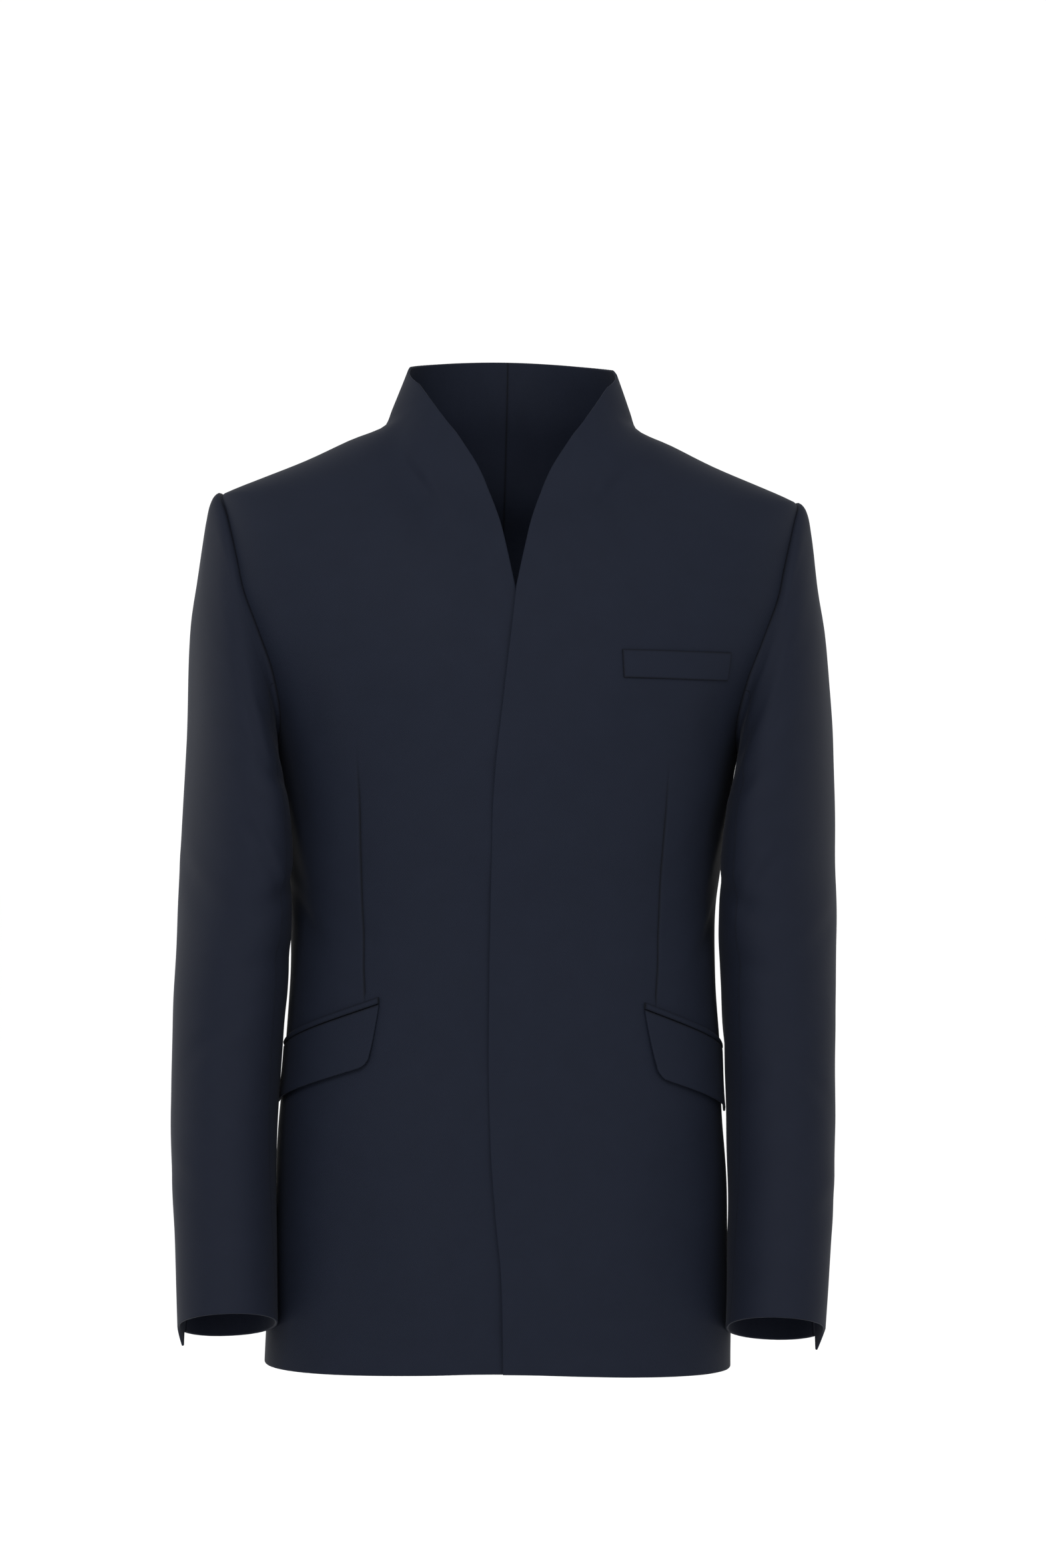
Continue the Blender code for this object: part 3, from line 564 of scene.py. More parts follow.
class Rows:
    """Fine rows over a body panel, from its one edge to the other, with their lengths."""

    def __init__(self, skin, start_turn, start_level, end_turn, end_level, bow):
        self.fine = np.linspace(0.0, 1.0, ROW_STEPS)
        fine = self.fine[None, :]
        self.turns = start_turn[:, None] + (end_turn - start_turn)[:, None] * fine
        levels = start_level[:, None] + (end_level - start_level)[:, None] * bow(fine)
        low = np.clip((UNDERARM - levels) / (UNDERARM - HEM_SIDE), 0.0, 1.0)
        self.levels = levels + low * (hem_level(self.turns) - HEM_SIDE)
        points = skin(self.turns, self.levels)
        steps = np.linalg.norm(np.diff(points, axis=1), axis=-1)
        self.run = np.concatenate([np.zeros((len(steps), 1)), np.cumsum(steps, axis=1)], axis=1)

    def at(self, distances):
        """Turns and levels at the given distances along each row."""
        places = [np.interp(wanted, run, self.fine) for wanted, run in zip(distances, self.run)]
        return (
            np.stack([np.interp(place, self.fine, row) for place, row in zip(places, self.turns)]),
            np.stack([np.interp(place, self.fine, row) for place, row in zip(places, self.levels)]),
        )


def dart_turn(side, level):
    """The turn of the dart's line, carried on above and below it."""
    for dart_side, top_across, top_level, bottom_across, bottom_level in DARTS:
        if dart_side == side:
            level = np.minimum(level, DART_REACH)
            share = (level - bottom_level) / (top_level - bottom_level)
            return turn_at_width(bottom_across + (top_across - bottom_across) * share, level)


def dart_shape(side, turn, level):
    """How strongly the dart's sewn line and the soft hollow along it show at a place, from 0 to 1."""
    for dart_side, _, top_level, _, bottom_level in DARTS:
        if dart_side == side:
            held = ease(level, bottom_level + DART_FOOT[0], bottom_level + DART_FOOT[1])
            held = held * (1 - ease(level, top_level + DART_HEAD[0], top_level + DART_HEAD[1]))
            apart = (turn - dart_turn(side, level)) * BODY_RADIUS * DART_STRETCH
            line = held * np.exp(-((apart / DART_BREADTH) ** 2))
            pinch = held**3 * np.exp(-((apart / DART_PINCH_BREADTH) ** 2))
            return line, pinch


def front_grid(side):
    skin = body_skin(side, side < 0)
    end_turn, end_level = outer_edge(True)
    start_level = inner_levels(end_level, NECK_CORNER)
    start_turn = front_edge(start_level)
    rows = Rows(skin, start_turn, start_level, end_turn, end_level, lambda share: share)
    free = start_turn + FREE_COLUMN * (end_turn - start_turn)
    loose = ease(end_level, *FREE_LEVELS)
    wanted = dart_turn(side, end_level) * (1 - loose) + free * loose
    distances = []
    for turn, turns, run in zip(wanted, rows.turns, rows.run):
        dart = np.interp(turn, turns, run)
        edge_part = steps_between(0.0, dart, FRONT_EDGE_COLUMNS, ROLL_STEPS, DART_STEPS)
        side_part = steps_between(dart, run[-1], FRONT_SIDE_COLUMNS, DART_STEPS, ROLL_STEPS)
        distances.append(np.concatenate([edge_part, side_part[1:]]))
    turns, levels = rows.at(distances)
    return skin, turns, levels


def back_grid(side):
    skin = body_skin(side, False)
    start_turn, start_level = outer_edge(False)
    end_level = inner_levels(start_level, STAND_BACK)
    end_turn = np.full(len(end_level), math.pi)
    rows = Rows(
        skin, start_turn, start_level, end_turn, end_level, lambda share: np.sin(share * math.pi / 2)
    )
    distances = [steps_between(0.0, run[-1], BACK_COLUMNS, ROLL_STEPS, ROLL_STEPS) for run in rows.run]
    turns, levels = rows.at(distances)
    return skin, turns, levels


def rim_gap(points, rims):
    """How far each point of a grid near its edges lies from the given rim lines."""
    rows, columns = points.shape[:2]
    gap = np.full((rows, columns), np.inf)
    dense = []
    for rim in rims:
        lengths = np.linalg.norm(np.diff(rim, axis=0), axis=1)
        run = np.concatenate([[0.0], np.cumsum(lengths)])
        places = np.linspace(0.0, run[-1], max(2, int(run[-1] / RIM_STEP)))
        dense.append(np.stack([np.interp(places, run, rim[:, axis]) for axis in range(3)], axis=-1))
    if not dense:
        return gap
    dense = np.concatenate(dense)
    tree = KDTree(len(dense))
    for number, point in enumerate(dense):
        tree.insert(point, number)
    tree.balance()
    row, place = np.indices((rows, columns))
    near = np.minimum(np.minimum(row, rows - 1 - row), np.minimum(place, columns - 1 - place)) < NEAR_EDGE
    for index in np.argwhere(near):
        index = tuple(index)
        gap[index] = tree.find(points[index])[2]
    return gap


def roll_drop(gap, radius):
    """How far a face falls towards an edge that is rolled to a radius."""
    inside = radius - np.clip(gap, 0.0, radius)
    return radius - np.sqrt(radius**2 - inside**2)


def rolled_wall(outer, out, edges, cloth, fold_roll=FOLD_ROLL, seam_roll=SEAM_ROLL):
    """The outer and inner face of a cloth with rolled edges, and how strongly painted shade darkens each
    point near a seam. edges names the start and end column and the bottom and top row as fold, seam or
    pressed."""
    lines = dict(start=outer[:, 0], end=outer[:, -1], bottom=outer[0], top=outer[-1])
    fold_gap, seam_gap, pressed_gap = [
        rim_gap(outer, [lines[name] for name, kind in edges.items() if kind == wanted])
        for wanted in ("fold", "seam", "pressed")
    ]
    fold_drop = roll_drop(fold_gap, fold_roll)
    seam_drop = np.maximum(roll_drop(seam_gap, seam_roll), roll_drop(pressed_gap, PRESSED_ROLL))
    drop = np.maximum(fold_drop, seam_drop)
    inner = outer - (cloth - fold_drop)[..., None] * out
    # painted shade: a dark line along each seam, for the shade that falls in its ditch
    open_seam_painted_shade = np.exp(-((seam_gap / PAINTED_SHADE_BREADTH) ** 2))
    pressed_seam_painted_shade = PRESSED_PAINTED_SHADE * np.exp(-((pressed_gap / PAINTED_SHADE_BREADTH) ** 2))
    return outer - drop[..., None] * out, inner, np.maximum(open_seam_painted_shade, pressed_seam_painted_shade)


def cloth_piece(name, outer, inner, grain, painted_seam_shade, side, material):
    """A closed cloth mesh between two grids of points. grain holds each point's place on the flat cloth,
    in metres, for the weave, and painted_seam_shade how much painted shade darkens it near a seam."""
    rows, columns = outer.shape[:2]
    points = np.concatenate([outer.reshape(-1, 3), inner.reshape(-1, 3)]) * np.array([side, 1.0, 1.0])
    under = rows * columns
    corner = (np.arange(rows - 1)[:, None] * columns + np.arange(columns - 1)[None, :]).ravel()
    face = np.stack([corner, corner + 1, corner + columns + 1, corner + columns], axis=1)
    back = under + face[:, ::-1]
    bottom = np.arange(columns)
    right = np.arange(1, rows) * columns + columns - 1
    top = (rows - 1) * columns + np.arange(columns - 2, -1, -1)
    left = np.arange(rows - 2, 0, -1) * columns
    rim = np.concatenate([bottom, right, top, left])
    following = np.roll(rim, -1)
    wall = np.stack([following, rim, under + rim, under + following], axis=1)
    faces = np.concatenate([face, back, wall])
    if side < 0:
        faces = faces[:, ::-1]
    mesh = bpy.data.meshes.new(name)
    mesh.from_pydata(points.tolist(), [], faces.tolist())
    flat = grain.reshape(-1, 2)
    weave = mesh.uv_layers.new(name="grain")
    corners = faces.ravel()
    weave.data.foreach_set("uv", flat[corners % under].astype(np.float32).ravel())
    low = flat.min(axis=0)
    unit = (flat - low) / (flat.max(axis=0) - low)
    chart = np.concatenate([unit * size + start for size, start in (OUTER_CHART, INNER_CHART)])
    places = chart[faces]
    from_middle = unit[rim] - 0.5
    rim_out = np.sign(from_middle) * CHART_RIM * (np.abs(from_middle) > CHART_EDGE)
    rim_next = np.roll(rim_out, -1, axis=0)
    strip = np.stack(
        [chart[following], chart[rim], chart[rim] + rim_out, chart[following] + rim_next], axis=1
    )
    if side < 0:
        strip = strip[:, ::-1]
    places[len(face) + len(back):] = strip
    bake = mesh.uv_layers.new(name="OFBake")
    bake.data.foreach_set("uv", places.astype(np.float32).ravel())
    # the painted shade along seams and darts, the same on both faces
    painted_shade_layer = mesh.attributes.new("painted_seam_shade", "FLOAT", "POINT")
    painted_shade_layer.data.foreach_set("value", np.tile(painted_seam_shade.ravel(), 2).astype(np.float32))
    mesh.polygons.foreach_set("use_smooth", np.ones(len(faces), dtype=bool))
    mesh.materials.append(material)
    mesh.validate()
    mesh.update()
    piece = bpy.data.objects.new(name, mesh)
    bpy.context.scene.collection.objects.link(piece)
    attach(piece, "root")
    return piece


# The weave: how its ribs, crossing yarns and stray fibres are scaled, shared out and shaded
WANDER_SCALE = 140.0    # of the noise by which the ribs wander
WANDER = 0.0011         # how far they wander
YARN_LEAN = 0.35        # lean of the yarns that cross the ribs
YARN_CLOSENESS = 1.7    # how many of them lie in the breadth of one rib
RIB_SHARE = 0.34
YARN_SHARE = 0.16
FIBRE_SCALE = 2600.0
MOTTLE_SCALE = 46.0
MOTTLE_CONTRAST = 0.22
PAINTED_SEAM_SHADE_STRENGTH = 0.62      # share of the cloth's colour that the painted shade along a seam takes away
SMOOTHEST = 0.64        # roughness between the stray fibres
FIBRE_ROUGHNESS = 0.16  # and how much they add to it
WEAVE_RELIEF = 0.7
FIBRE_RELIEF = 0.5
MIX_FIRST, MIX_SECOND, MIX_RESULT = 6, 7, 2  # a Mix node's colour sockets


def wool_twill():
    """The weave, shared by every cloth: fine diagonal ribs of crossing yarns, with stray fibres, and painted
    shade along the seams.
    """
    group = bpy.data.node_groups.new("wool_twill", "ShaderNodeTree")
    sockets = group.interface
    for socket_name, kind, value in (
        ("Grain", "NodeSocketVector", None),
        ("Rib Pitch", "NodeSocketFloat", 0.0007),
        ("Rib Lean", "NodeSocketFloat", 1.1),
        ("Rib Contrast", "NodeSocketFloat", 0.35),
        ("Fibre Contrast", "NodeSocketFloat", 0.3),
        ("Painted Seam Shade", "NodeSocketFloat", 0.0),
        ("Yarn Shade", "NodeSocketColor", (0.010, 0.012, 0.018, 1.0)),
        ("Yarn Light", "NodeSocketColor", (0.024, 0.028, 0.038, 1.0)),
    ):
        socket = sockets.new_socket(name=socket_name, in_out="INPUT", socket_type=kind)
        if value is not None:
            socket.default_value = value
    for socket_name, kind in (
        ("Color", "NodeSocketColor"),
        ("Roughness", "NodeSocketFloat"),
        ("Height", "NodeSocketFloat"),
    ):
        sockets.new_socket(name=socket_name, in_out="OUTPUT", socket_type=kind)
    nodes = group.nodes
    links = group.links
    given = nodes.new("NodeGroupInput")
    result = nodes.new("NodeGroupOutput")

    def math_node(operation, first, second=None):
        node = nodes.new("ShaderNodeMath")
        node.operation = operation
        for number, value in enumerate((first, second)):
            if value is None:
                continue
            if isinstance(value, (int, float)):
                node.inputs[number].default_value = value
            else:
                links.new(value, node.inputs[number])
        return node.outputs[0]

    def noise(scale, detail):
        node = nodes.new("ShaderNodeTexNoise")
        node.inputs["Scale"].default_value = scale
        node.inputs["Detail"].default_value = detail
        links.new(given.outputs["Grain"], node.inputs["Vector"])
        return node.outputs["Fac"]

    def ribs(run, closeness):
        """Waves along a run of lengths, closeness of them to each rib pitch."""
        turned = math_node("MULTIPLY", run, 2 * math.pi * closeness)
        return math_node("SINE", math_node("DIVIDE", turned, given.outputs["Rib Pitch"]))

    def about_middle(value, contrast):
        """A value from 0 to 1 as its difference from the middle, times a contrast."""
        return math_node("MULTIPLY", math_node("SUBTRACT", value, 0.5), contrast)

    split = nodes.new("ShaderNodeSeparateXYZ")
    links.new(given.outputs["Grain"], split.inputs[0])
    across, along = split.outputs[0], split.outputs[1]
    wander = math_node("MULTIPLY", noise(WANDER_SCALE, 2.0), WANDER)
    lean_across = math_node("MULTIPLY", across, math_node("COSINE", given.outputs["Rib Lean"]))
    lean_along = math_node("MULTIPLY", along, math_node("SINE", given.outputs["Rib Lean"]))
    rib = ribs(math_node("ADD", math_node("ADD", lean_across, lean_along), wander), 1.0)
    yarn = ribs(math_node("SUBTRACT", across, math_node("MULTIPLY", along, YARN_LEAN)), YARN_CLOSENESS)
    weave = math_node("ADD", math_node("MULTIPLY", rib, RIB_SHARE), math_node("MULTIPLY", yarn, YARN_SHARE))
    weave = math_node("ADD", weave, 0.5)
    fibre = noise(FIBRE_SCALE, 3.0)
    tone = about_middle(weave, given.outputs["Rib Contrast"])
    fleck = about_middle(fibre, given.outputs["Fibre Contrast"])
    cloud = about_middle(noise(MOTTLE_SCALE, 3.0), MOTTLE_CONTRAST)
    tone = math_node("ADD", math_node("ADD", tone, fleck), math_node("ADD", cloud, 0.5))
    mix = nodes.new("ShaderNodeMix")
    mix.data_type = "RGBA"
    links.new(tone, mix.inputs["Factor"])
    links.new(given.outputs["Yarn Shade"], mix.inputs[MIX_FIRST])
    links.new(given.outputs["Yarn Light"], mix.inputs[MIX_SECOND])
    # painted shade: the colour is darkened towards black along seams and darts
    shadow = nodes.new("ShaderNodeMix")
    shadow.data_type = "RGBA"
    links.new(math_node("MULTIPLY", given.outputs["Painted Seam Shade"], PAINTED_SEAM_SHADE_STRENGTH), shadow.inputs["Factor"])
    links.new(mix.outputs[MIX_RESULT], shadow.inputs[MIX_FIRST])
    shadow.inputs[MIX_SECOND].default_value = (0.0, 0.0, 0.0, 1.0)
    links.new(shadow.outputs[MIX_RESULT], result.inputs["Color"])
    rough = math_node("ADD", math_node("MULTIPLY", fibre, FIBRE_ROUGHNESS), SMOOTHEST)
    links.new(rough, result.inputs["Roughness"])
    relief = math_node("MULTIPLY", weave, WEAVE_RELIEF)
    relief = math_node("ADD", relief, math_node("MULTIPLY", fibre, FIBRE_RELIEF))
    links.new(relief, result.inputs["Height"])
    return group


def wool_cloth(name, twill, rib_lean, shade, light, sheen):
    """A wool material: the shared weave with its own lean of the ribs and its own two yarns."""
    material = bpy.data.materials.new(name)
    material.use_nodes = True
    nodes = material.node_tree.nodes
    links = material.node_tree.links
    shader = nodes["Principled BSDF"]
    grain = nodes.new("ShaderNodeUVMap")
    grain.uv_map = "grain"
    # the painted shade along seams and darts
    painted_seam_shade = nodes.new("ShaderNodeAttribute")
    painted_seam_shade.attribute_name = "painted_seam_shade"
    weave = nodes.new("ShaderNodeGroup")
    weave.node_tree = twill
    links.new(painted_seam_shade.outputs["Fac"], weave.inputs["Painted Seam Shade"])
    weave.inputs["Rib Pitch"].default_value = 0.0008
    weave.inputs["Rib Lean"].default_value = rib_lean
    weave.inputs["Rib Contrast"].default_value = 0.55
    weave.inputs["Fibre Contrast"].default_value = 0.50
    weave.inputs["Yarn Shade"].default_value = shade
    weave.inputs["Yarn Light"].default_value = light
    bump = nodes.new("ShaderNodeBump")
    bump.inputs["Strength"].default_value = 0.22
    bump.inputs["Distance"].default_value = 0.00025
    links.new(grain.outputs["UV"], weave.inputs["Grain"])
    links.new(weave.outputs["Color"], shader.inputs["Base Color"])
    links.new(weave.outputs["Roughness"], shader.inputs["Roughness"])
    links.new(weave.outputs["Height"], bump.inputs["Height"])
    links.new(bump.outputs["Normal"], shader.inputs["Normal"])
    shader.inputs["Specular IOR Level"].default_value = 0.07
    shader.inputs["Sheen Weight"].default_value = sheen
    shader.inputs["Sheen Roughness"].default_value = 0.42
    shader.inputs["Sheen Tint"].default_value = (0.80, 0.84, 0.95, 1.0)
    return material


# The two yarns of a wool: shade, light
BODY_YARNS = ((0.0024, 0.0034, 0.0068, 1.0), (0.0064, 0.0086, 0.0164, 1.0))
# painted light: the sleeves' yarns are a touch lighter and greyer than the body's, a lit copy of the same
# wool
LIT_SLEEVE_YARNS = ((0.0025, 0.0034, 0.0067, 1.0), (0.0067, 0.0087, 0.0163, 1.0))
twill = wool_twill()
BODY_WOOL = wool_cloth("body_wool", twill, 1.10, *BODY_YARNS, sheen=0.012)
SLEEVE_WOOL = wool_cloth("sleeve_wool", twill, 1.10, *LIT_SLEEVE_YARNS, sheen=0.016)
POCKET_WOOL = wool_cloth("pocket_wool", twill, 0.95, *BODY_YARNS, sheen=0.012)


def body_panel(name, grid, side, edges, darts):
    skin, turns, levels = grid
    outer = skin(turns, levels)
    out = normals(skin, turns, levels)
    line = 0 * turns
    if darts:
        line, pinch = dart_shape(side, turns, levels)
        outer = outer - (DART_DEPTH * line + DART_PINCH * pinch)[..., None] * out
    grain = np.stack([turns * BODY_RADIUS * GRAIN_STRETCH, levels], axis=-1)
    outer, inner, painted_seam_shade = rolled_wall(outer, out, edges, CLOTH)
    # the dart's sewn line is darkened with painted shade, as the seams are
    return cloth_piece(name, outer, inner, grain, np.maximum(painted_seam_shade, line), side, BODY_WOOL)


def sleeve_loops(angles):
    """The sleeve's rings at the given angles round from the crest, as (ring, angle, xyz)."""
    cosine = np.cos(angles)
    sine = np.sin(angles)
    reach = (np.abs(cosine) ** SLEEVE_SQUARENESS + np.abs(sine) ** SLEEVE_SQUARENESS) ** (
        -1 / SLEEVE_SQUARENESS
    )
    back, level = armhole(angles, SEAM_GAP)
    seam_loop = body(turn_at_depth(back, level), level)
    loops = []
    for crest_x, crest_level, pit_x, pit_level, middle_y, half_depth, tilt, skew, loose in SLEEVE:
        outward = reach * cosine
        forward = half_depth * reach * sine
        x = (crest_x + pit_x) / 2 + (crest_x - pit_x) / 2 * outward - skew * forward
        z = (crest_level + pit_level) / 2 + (crest_level - pit_level) / 2 * outward + tilt * forward
        ring = np.stack([x, middle_y - forward, z], axis=-1)
        if not loops:
            first_ring = ring
        loops.append(ring + loose * (seam_loop - first_ring))
    return np.stack(loops)


ANGLE_STEPS = 360
SHARE_STEPS = 1600


def sleeve_table():
    """The bare sleeve at even shares of its crest's length and even angles."""
    angles = np.linspace(-math.pi, math.pi, ANGLE_STEPS + 1)
    rings = curve(np.linspace(0.0, 1.0, len(SLEEVE)), sleeve_loops(angles))
    fine = np.linspace(0.0, 1.0, SHARE_STEPS + 1)
    crest = rings(fine)[:, ANGLE_STEPS // 2]
    run = np.concatenate([[0.0], np.cumsum(np.linalg.norm(np.diff(crest, axis=0), axis=1))])
    return rings(np.interp(fine, run / run[-1], fine))


SLEEVE_POINTS = sleeve_table()


def bare_sleeve(angle, share):
    """A point of the sleeve without creases; share runs from the armhole to the cuff."""
    turned = (angle + math.pi) % (2 * math.pi) / (2 * math.pi) * ANGLE_STEPS
    low_angle = np.clip(np.floor(turned).astype(int), 0, ANGLE_STEPS - 1)
    angle_part = (turned - low_angle)[..., None]
    ring = np.clip(share, 0.0, 1.0) * SHARE_STEPS
    low_ring = np.clip(np.floor(ring).astype(int), 0, SHARE_STEPS - 1)
    ring_part = (ring - low_ring)[..., None]

    def on_ring(number):
        near = SLEEVE_POINTS[number, low_angle]
        far = SLEEVE_POINTS[number, low_angle + 1]
        return near * (1 - angle_part) + far * angle_part

    return on_ring(low_ring) * (1 - ring_part) + on_ring(low_ring + 1) * ring_part


SLEEVE_STEP = 0.006     # of an angle or a share, between the points that give a sleeve's normals
SHARE_ENDS = (0.007, 0.993)  # the shares between which those normals are taken
UNDER_TURN = -2.2       # angles below this are counted on past the pit, as the creases there are
HELD_SHARE = 0.06       # share of the length over which creases and waves grow from the armhole
WAVE_RADIUS = 0.05      # of the tube that a sleeve's waves run over
BUTT_SHARE = 0.012      # share over which the wall turns from the body cloth's normals to its own
SEAM_RADIUS = 0.045     # of a sleeve at its lengthwise seams, which turns their gap into an angle
HEAD_SHARE = 0.10       # share of the length in which a sleeve's rows lie closer
HEAD_CROWDING = 1.5     # power by which they crowd towards the armhole
HEAD_FIRST = 3          # the first of them that is used, after the steps of the rolled edge
HEAD_SPACE = 0.001      # and the least share between it and those steps
CORNER_REACH = 0.16     # share of the cuff's breadth over which it falls to the pointed corner


def swung_sleeve(side, angle, share):
    """A point of one side's sleeve without its creases."""
    points = bare_sleeve(angle, share)
    points[..., 0] += side * swing_at(share) * (1 + np.cos(angle)) / 2
    return points


def sleeve_skin(side):
    """The outer face of one side's sleeve, with its creases and waves."""

    def skin(angle, share):
        wrapped = (angle + math.pi) % (2 * math.pi) - math.pi
        around = np.where(wrapped < UNDER_TURN, wrapped + 2 * math.pi, wrapped)
        along = share * SLEEVE_LENGTH
        height = crease_height(SLEEVE_LINES, side, around * SLEEVE_RADIUS, along)
        wave_along = along + np.cos(angle) * WAVE_RADIUS
        height = height + SLEEVE_WAVES[side](np.sin(angle) * WAVE_RADIUS, wave_along)
        held = ease(share, 0.0, HELD_SHARE)
        out = normals(bare_sleeve, angle, np.clip(share, *SHARE_ENDS), SLEEVE_STEP)
        return swung_sleeve(side, angle, share) + (height * held)[..., None] * out

    return skin


def sleeve_out(skin, angle, share):
    """Outward normals; at the armhole the wall stands square to the body cloth, as it butts onto it."""
    own = normals(skin, angle, np.clip(share, *SHARE_ENDS), SLEEVE_STEP)
    back, level = armhole(angle, SEAM_GAP)
    seam = normals(body, turn_at_depth(back, level), level)
    part = ease(share, 0.0, BUTT_SHARE)[..., None]
    mixed = own * part + seam * (1 - part)
    return mixed / np.linalg.norm(mixed, axis=-1, keepdims=True)


def sleeve_panel(name, side, top):
    """A top or an under sleeve; the top one has the vent's pointed corner."""
    skin = sleeve_skin(side)
    roll = np.asarray(ROLL_STEPS) / SLEEVE_LENGTH
    head = HEAD_SHARE * np.linspace(0.0, 1.0, HEAD_ROWS)[HEAD_FIRST:-1] ** HEAD_CROWDING
    head = head[head > roll[-1] + HEAD_SPACE]
    below = steps_between(HEAD_SHARE, 1.0, SLEEVE_ROWS, (0.0,), roll)
    shares = np.concatenate([roll, head, below])
    trim = SEAM_GAP / 2 / SEAM_RADIUS
    columns = TOP_COLUMNS if top else UNDER_COLUMNS
    vent = np.radians(VENT_SPREAD) * ease(shares, 1.0 - VENT_LENGTH, 1.0)
    start_share = shares * (1.0 if top else 1 - CUFF_RISE)
    end_share = shares * (1 - CUFF_RISE)
    if top:
        start = np.radians(hind_seam_at(start_share)) + trim
        end = np.radians(front_seam_at(end_share)) - trim
    else:
        start = np.radians(front_seam_at(start_share)) + trim
        end = np.radians(hind_seam_at(end_share)) + 2 * math.pi - trim - vent
    angle_roll = np.asarray(ROLL_STEPS) / SLEEVE_RADIUS
    angles = np.stack([
        steps_between(low, high, columns, angle_roll, angle_roll) for low, high in zip(start, end)
    ])
    places = (angles - start[:, None]) / (end - start)[:, None]
    corner = np.clip(1 - places / CORNER_REACH, 0.0, 1.0) ** 2 if top else 0 * places
    grid_shares = shares[:, None] * (1 - CUFF_RISE * (1 - corner))
    outer = skin(angles, grid_shares)
    out = sleeve_out(skin, angles, grid_shares)
    outer, inner, painted_seam_shade = rolled_wall(outer, out, SLEEVE_EDGES, CLOTH)
    grain = np.stack([angles * SLEEVE_RADIUS, -grid_shares * SLEEVE_LENGTH], axis=-1)
    return cloth_piece(name, outer, inner, grain, painted_seam_shade, side, SLEEVE_WOOL)


def laid_piece(name, side, turns, levels, foot, rise, edges, fold_roll, seam_roll):
    """A piece that lies on a front: foot and rise are its two faces' heights above the front."""
    skin = body_skin(side, False)
    out = normals(skin, turns, levels)
    outer = skin(turns, levels) + (rise + 0 * turns)[..., None] * out
    outer, inner, painted_seam_shade = rolled_wall(outer, out, edges, rise - foot + 0 * turns, fold_roll, seam_roll)
    grain = np.stack([turns * BODY_RADIUS * GRAIN_STRETCH, levels], axis=-1)
    return cloth_piece(name, outer, inner, grain, painted_seam_shade, side, POCKET_WOOL)


def chest_welt():
    across = steps_between(0.0, WELT_LENGTH, WELT_COLUMNS, ROLL_STEPS, ROLL_STEPS)[None, :] / WELT_LENGTH
    up = steps_between(0.0, WELT_HEIGHT, WELT_ROWS, ROLL_STEPS, ROLL_STEPS)[:, None] / WELT_HEIGHT

    def between(number):
        """The across or the level of every point, from those of the four corners."""

        def edge(front_corner, side_corner):
            return front_corner[number] + (side_corner[number] - front_corner[number]) * across

        bottom = edge(WELT_BOTTOM_FRONT, WELT_BOTTOM_SIDE)
        top = edge(WELT_TOP_FRONT, WELT_TOP_SIDE)
        return bottom + (top - bottom) * up

    levels = between(1)
    turns = turn_at_width(between(0), levels)
    return laid_piece("welt_cloth", 1, turns, levels, WELT_FOOT, WELT_RISE, ALL_SEAMS, *WELT_ROLLS)


def pocket(side_name, side, top_turn, bottom_turn, front_level, back_level, depth):
    """A slanted flap pocket: the flap with its rounded corner, and the jet above it."""
    down = steps_between(0.0, depth, FLAP_ROWS, ROLL_STEPS, ROLL_STEPS)[::-1] / depth
    under = np.clip(FLAP_CORNER - (1 - down) * depth, 0.0, FLAP_CORNER)
    inset = FLAP_CORNER - np.sqrt(np.maximum(FLAP_CORNER**2 - under**2, 0.0))
    start = top_turn + (bottom_turn - top_turn) * down + np.degrees(inset / BODY_RADIUS)
    turn_roll = np.degrees(np.asarray(ROLL_STEPS) / BODY_RADIUS)
    turns = np.stack([
        steps_between(low, FLAP_BACK_TURN, FLAP_COLUMNS, turn_roll, turn_roll) for low in start
    ])
    along = (turns - top_turn) / (FLAP_BACK_TURN - top_turn)
    slant = front_level + (back_level - front_level) * along
    levels = slant - depth * down[:, None]
    lift = FLAP_LIFT_TOP + (FLAP_LIFT_BOTTOM - FLAP_LIFT_TOP) * down[:, None] ** 2 + 0 * turns
    lift = lift * (1 - FLAP_SETTLE * ease(along, FLAP_SETTLE_FROM, 1.0))
    flap = laid_piece(
        "flap_cloth_" + side_name, side, np.radians(turns), levels,
        lift, lift + FLAP_CLOTH, FLAP_EDGES, *FLAP_ROLLS,
    )
    up = steps_between(0.0, JET_HEIGHT, JET_ROWS, ROLL_STEPS[:-1], ROLL_STEPS[:-1])[:, None]
    jet_turns = steps_between(top_turn, FLAP_BACK_TURN, FLAP_COLUMNS, turn_roll, turn_roll)[None, :] + 0 * up
    jet_along = (jet_turns - top_turn) / (FLAP_BACK_TURN - top_turn)
    jet_levels = front_level + (back_level - front_level) * jet_along + JET_GAP + up
    crown = np.sin(math.pi * np.clip(up / JET_HEIGHT, 0.0, 1.0)) ** JET_FULLNESS
    rise = JET_FOOT + JET_EDGE + (JET_RISE - JET_FOOT - JET_EDGE) * crown + 0 * jet_turns
    jet = laid_piece(
        "jet_cloth_" + side_name, side, np.radians(jet_turns), jet_levels,
        JET_FOOT, rise, ALL_SEAMS, *JET_ROLLS,
    )
    return flap, jet


# The view: how the part stands to the camera, in radians and metres, and the camera itself
VIEW_YAW = math.radians(3.0)
VIEW_LEAN = 0.0136
VIEW_SHIFT = 0.0035
CAMERA_PLACE = (0.01285, -3.2, -0.2748)
SENSOR_WIDTH = 36.0     # in millimetres, as the lens is
LENS = 95.31
FLOOR_LEVEL = -1.5
FLOOR_REACH = 40.0
FLOOR_TONE = (0.96, 0.96, 0.96, 1.0)
FLOOR_ROUGHNESS = 0.9
STUDIO_TONE = (1.0, 1.0, 1.0, 1.0)
STUDIO_STRENGTH = 1.05
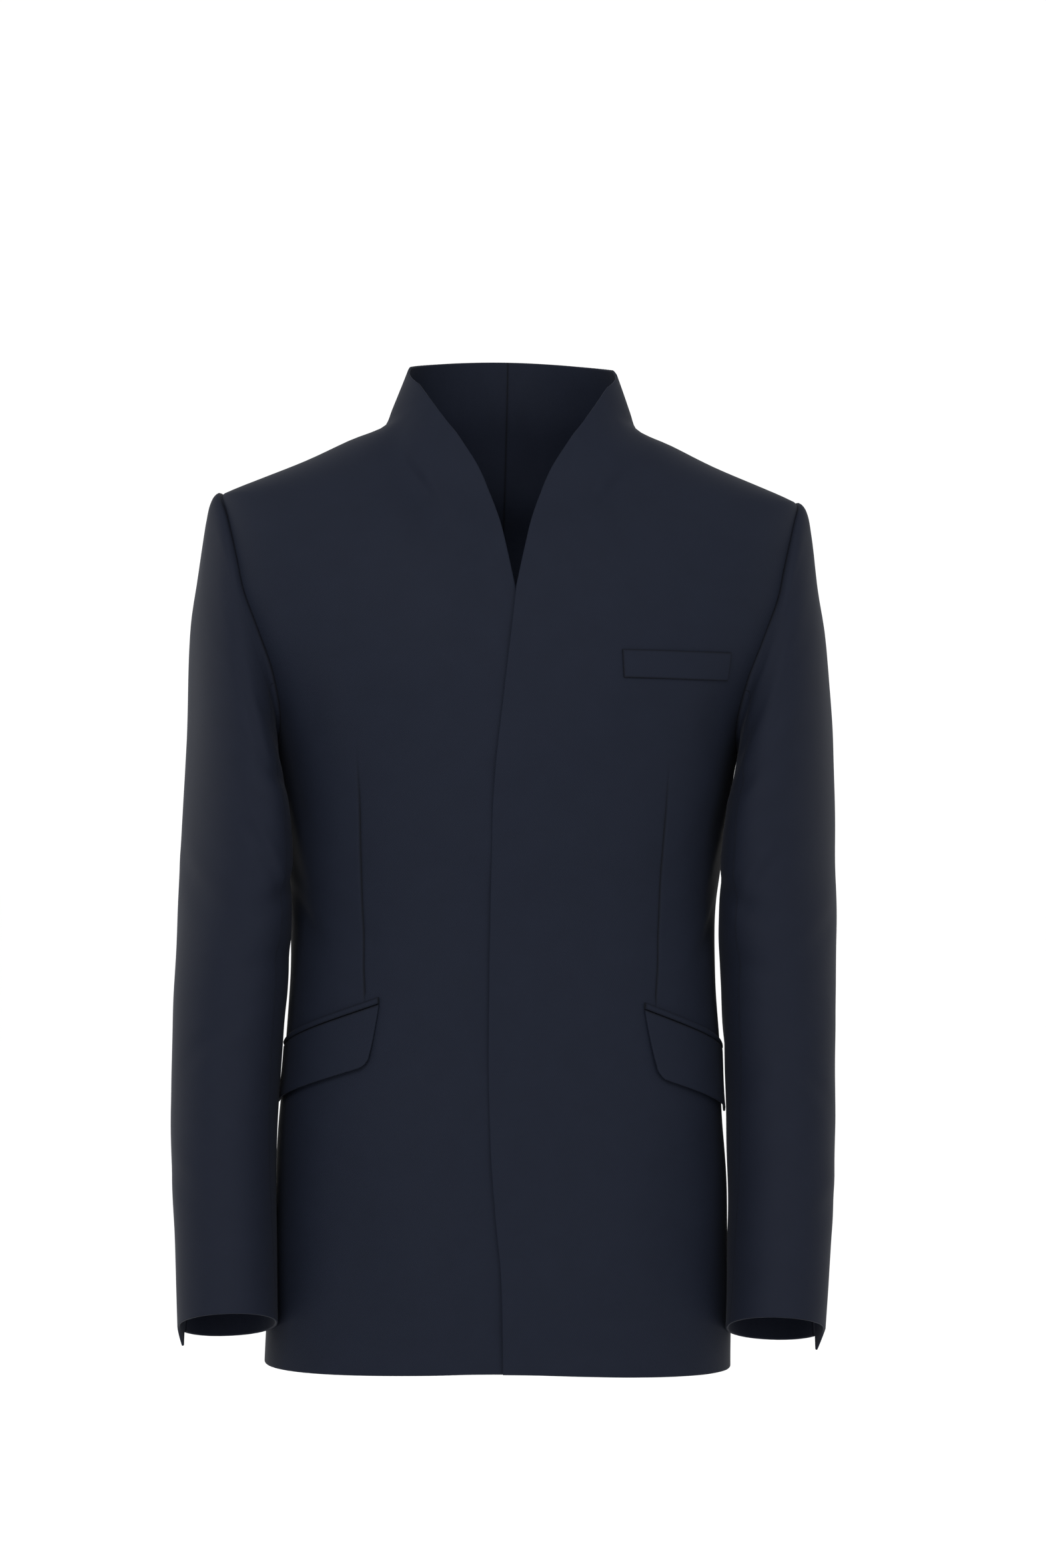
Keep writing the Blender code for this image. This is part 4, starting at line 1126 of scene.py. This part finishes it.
# The lamps, round soft boxes: name, place, aim, size, power
LAMPS = (
    ("key", (-0.9, -3.0, 1.5), (0.0, 0.0, -0.25), 1.8, 105.0),
    ("fill", (1.8, -2.6, 0.5), (0.0, 0.0, -0.35), 1.8, 26.0),
    ("rim_left", (2.4, 0.9, 0.5), (0.15, 0.0, -0.35), 1.4, 4.0),
    ("rim_right", (-2.4, 0.9, 0.5), (-0.15, 0.0, -0.35), 1.4, 21.0),
)


def camera_and_stage():
    """A long lens, to which the part is turned and leans a little, with a pale floor and soft light."""
    yaw = Matrix.Rotation(VIEW_YAW, 4, "Z")
    lean = Matrix.Rotation(VIEW_LEAN, 4, "Y")
    pose = Matrix.Translation((VIEW_SHIFT, 0.0, 0.0)) @ lean @ yaw
    place = Matrix.Translation(CAMERA_PLACE) @ Matrix.Rotation(math.radians(90.0), 4, "X")
    lens = bpy.data.cameras.new("view")
    lens.sensor_width = SENSOR_WIDTH
    lens.lens = LENS
    camera = bpy.data.objects.new("view", lens)
    camera.matrix_world = pose.inverted() @ place
    bpy.context.scene.collection.objects.link(camera)
    bpy.context.scene.camera = camera

    floor_mesh = bpy.data.meshes.new("floor")
    corners = [
        (FLOOR_REACH * x, FLOOR_REACH * y, FLOOR_LEVEL) for x, y in ((-1, -1), (1, -1), (1, 1), (-1, 1))
    ]
    floor_mesh.from_pydata(corners, [], [(0, 1, 2, 3)])
    floor = bpy.data.objects.new("floor", floor_mesh)
    bpy.context.scene.collection.objects.link(floor)
    pale = bpy.data.materials.new("pale_floor")
    pale.use_nodes = True
    pale_shader = pale.node_tree.nodes["Principled BSDF"]
    pale_shader.inputs["Base Color"].default_value = FLOOR_TONE
    pale_shader.inputs["Roughness"].default_value = FLOOR_ROUGHNESS
    floor_mesh.materials.append(pale)

    world = bpy.data.worlds.new("studio")
    world.use_nodes = True
    background = world.node_tree.nodes["Background"]
    background.inputs["Color"].default_value = STUDIO_TONE
    background.inputs["Strength"].default_value = STUDIO_STRENGTH
    bpy.context.scene.world = world
    bpy.context.scene.view_settings.view_transform = "Standard"
    bpy.context.scene.view_settings.look = "None"

    for light_name, place, aim, size, power in LAMPS:
        lamp = bpy.data.lights.new(light_name, "AREA")
        lamp.shape = "DISK"
        lamp.size = size
        lamp.energy = power
        light = bpy.data.objects.new(light_name, lamp)
        light.location = place
        light.rotation_mode = "QUATERNION"
        light.rotation_quaternion = (Vector(aim) - Vector(place)).to_track_quat("-Z", "Y")
        bpy.context.scene.collection.objects.link(light)


camera_and_stage()

for side_name, side in (("left", 1), ("right", -1)):
    front = body_panel("front_cloth_" + side_name, front_grid(side), side, FRONT_EDGES, True)
    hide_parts("front_" + side_name)
    back = body_panel("back_cloth_" + side_name, back_grid(side), side, BACK_EDGES, False)
    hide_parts("back_" + side_name)
    top_sleeve = sleeve_panel("top_sleeve_cloth_" + side_name, side, True)
    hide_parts("top_sleeve_" + side_name)
    under_sleeve = sleeve_panel("under_sleeve_cloth_" + side_name, side, False)
    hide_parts("under_sleeve_" + side_name)
    flap_row = [row for row in FLAPS if row[0] == side][0]
    flap, jet = pocket(side_name, side, *flap_row[1:])
    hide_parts("flap_" + side_name)
    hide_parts("jet_" + side_name)
    if side > 0:
        welt = chest_welt()
        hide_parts("chest_welt")
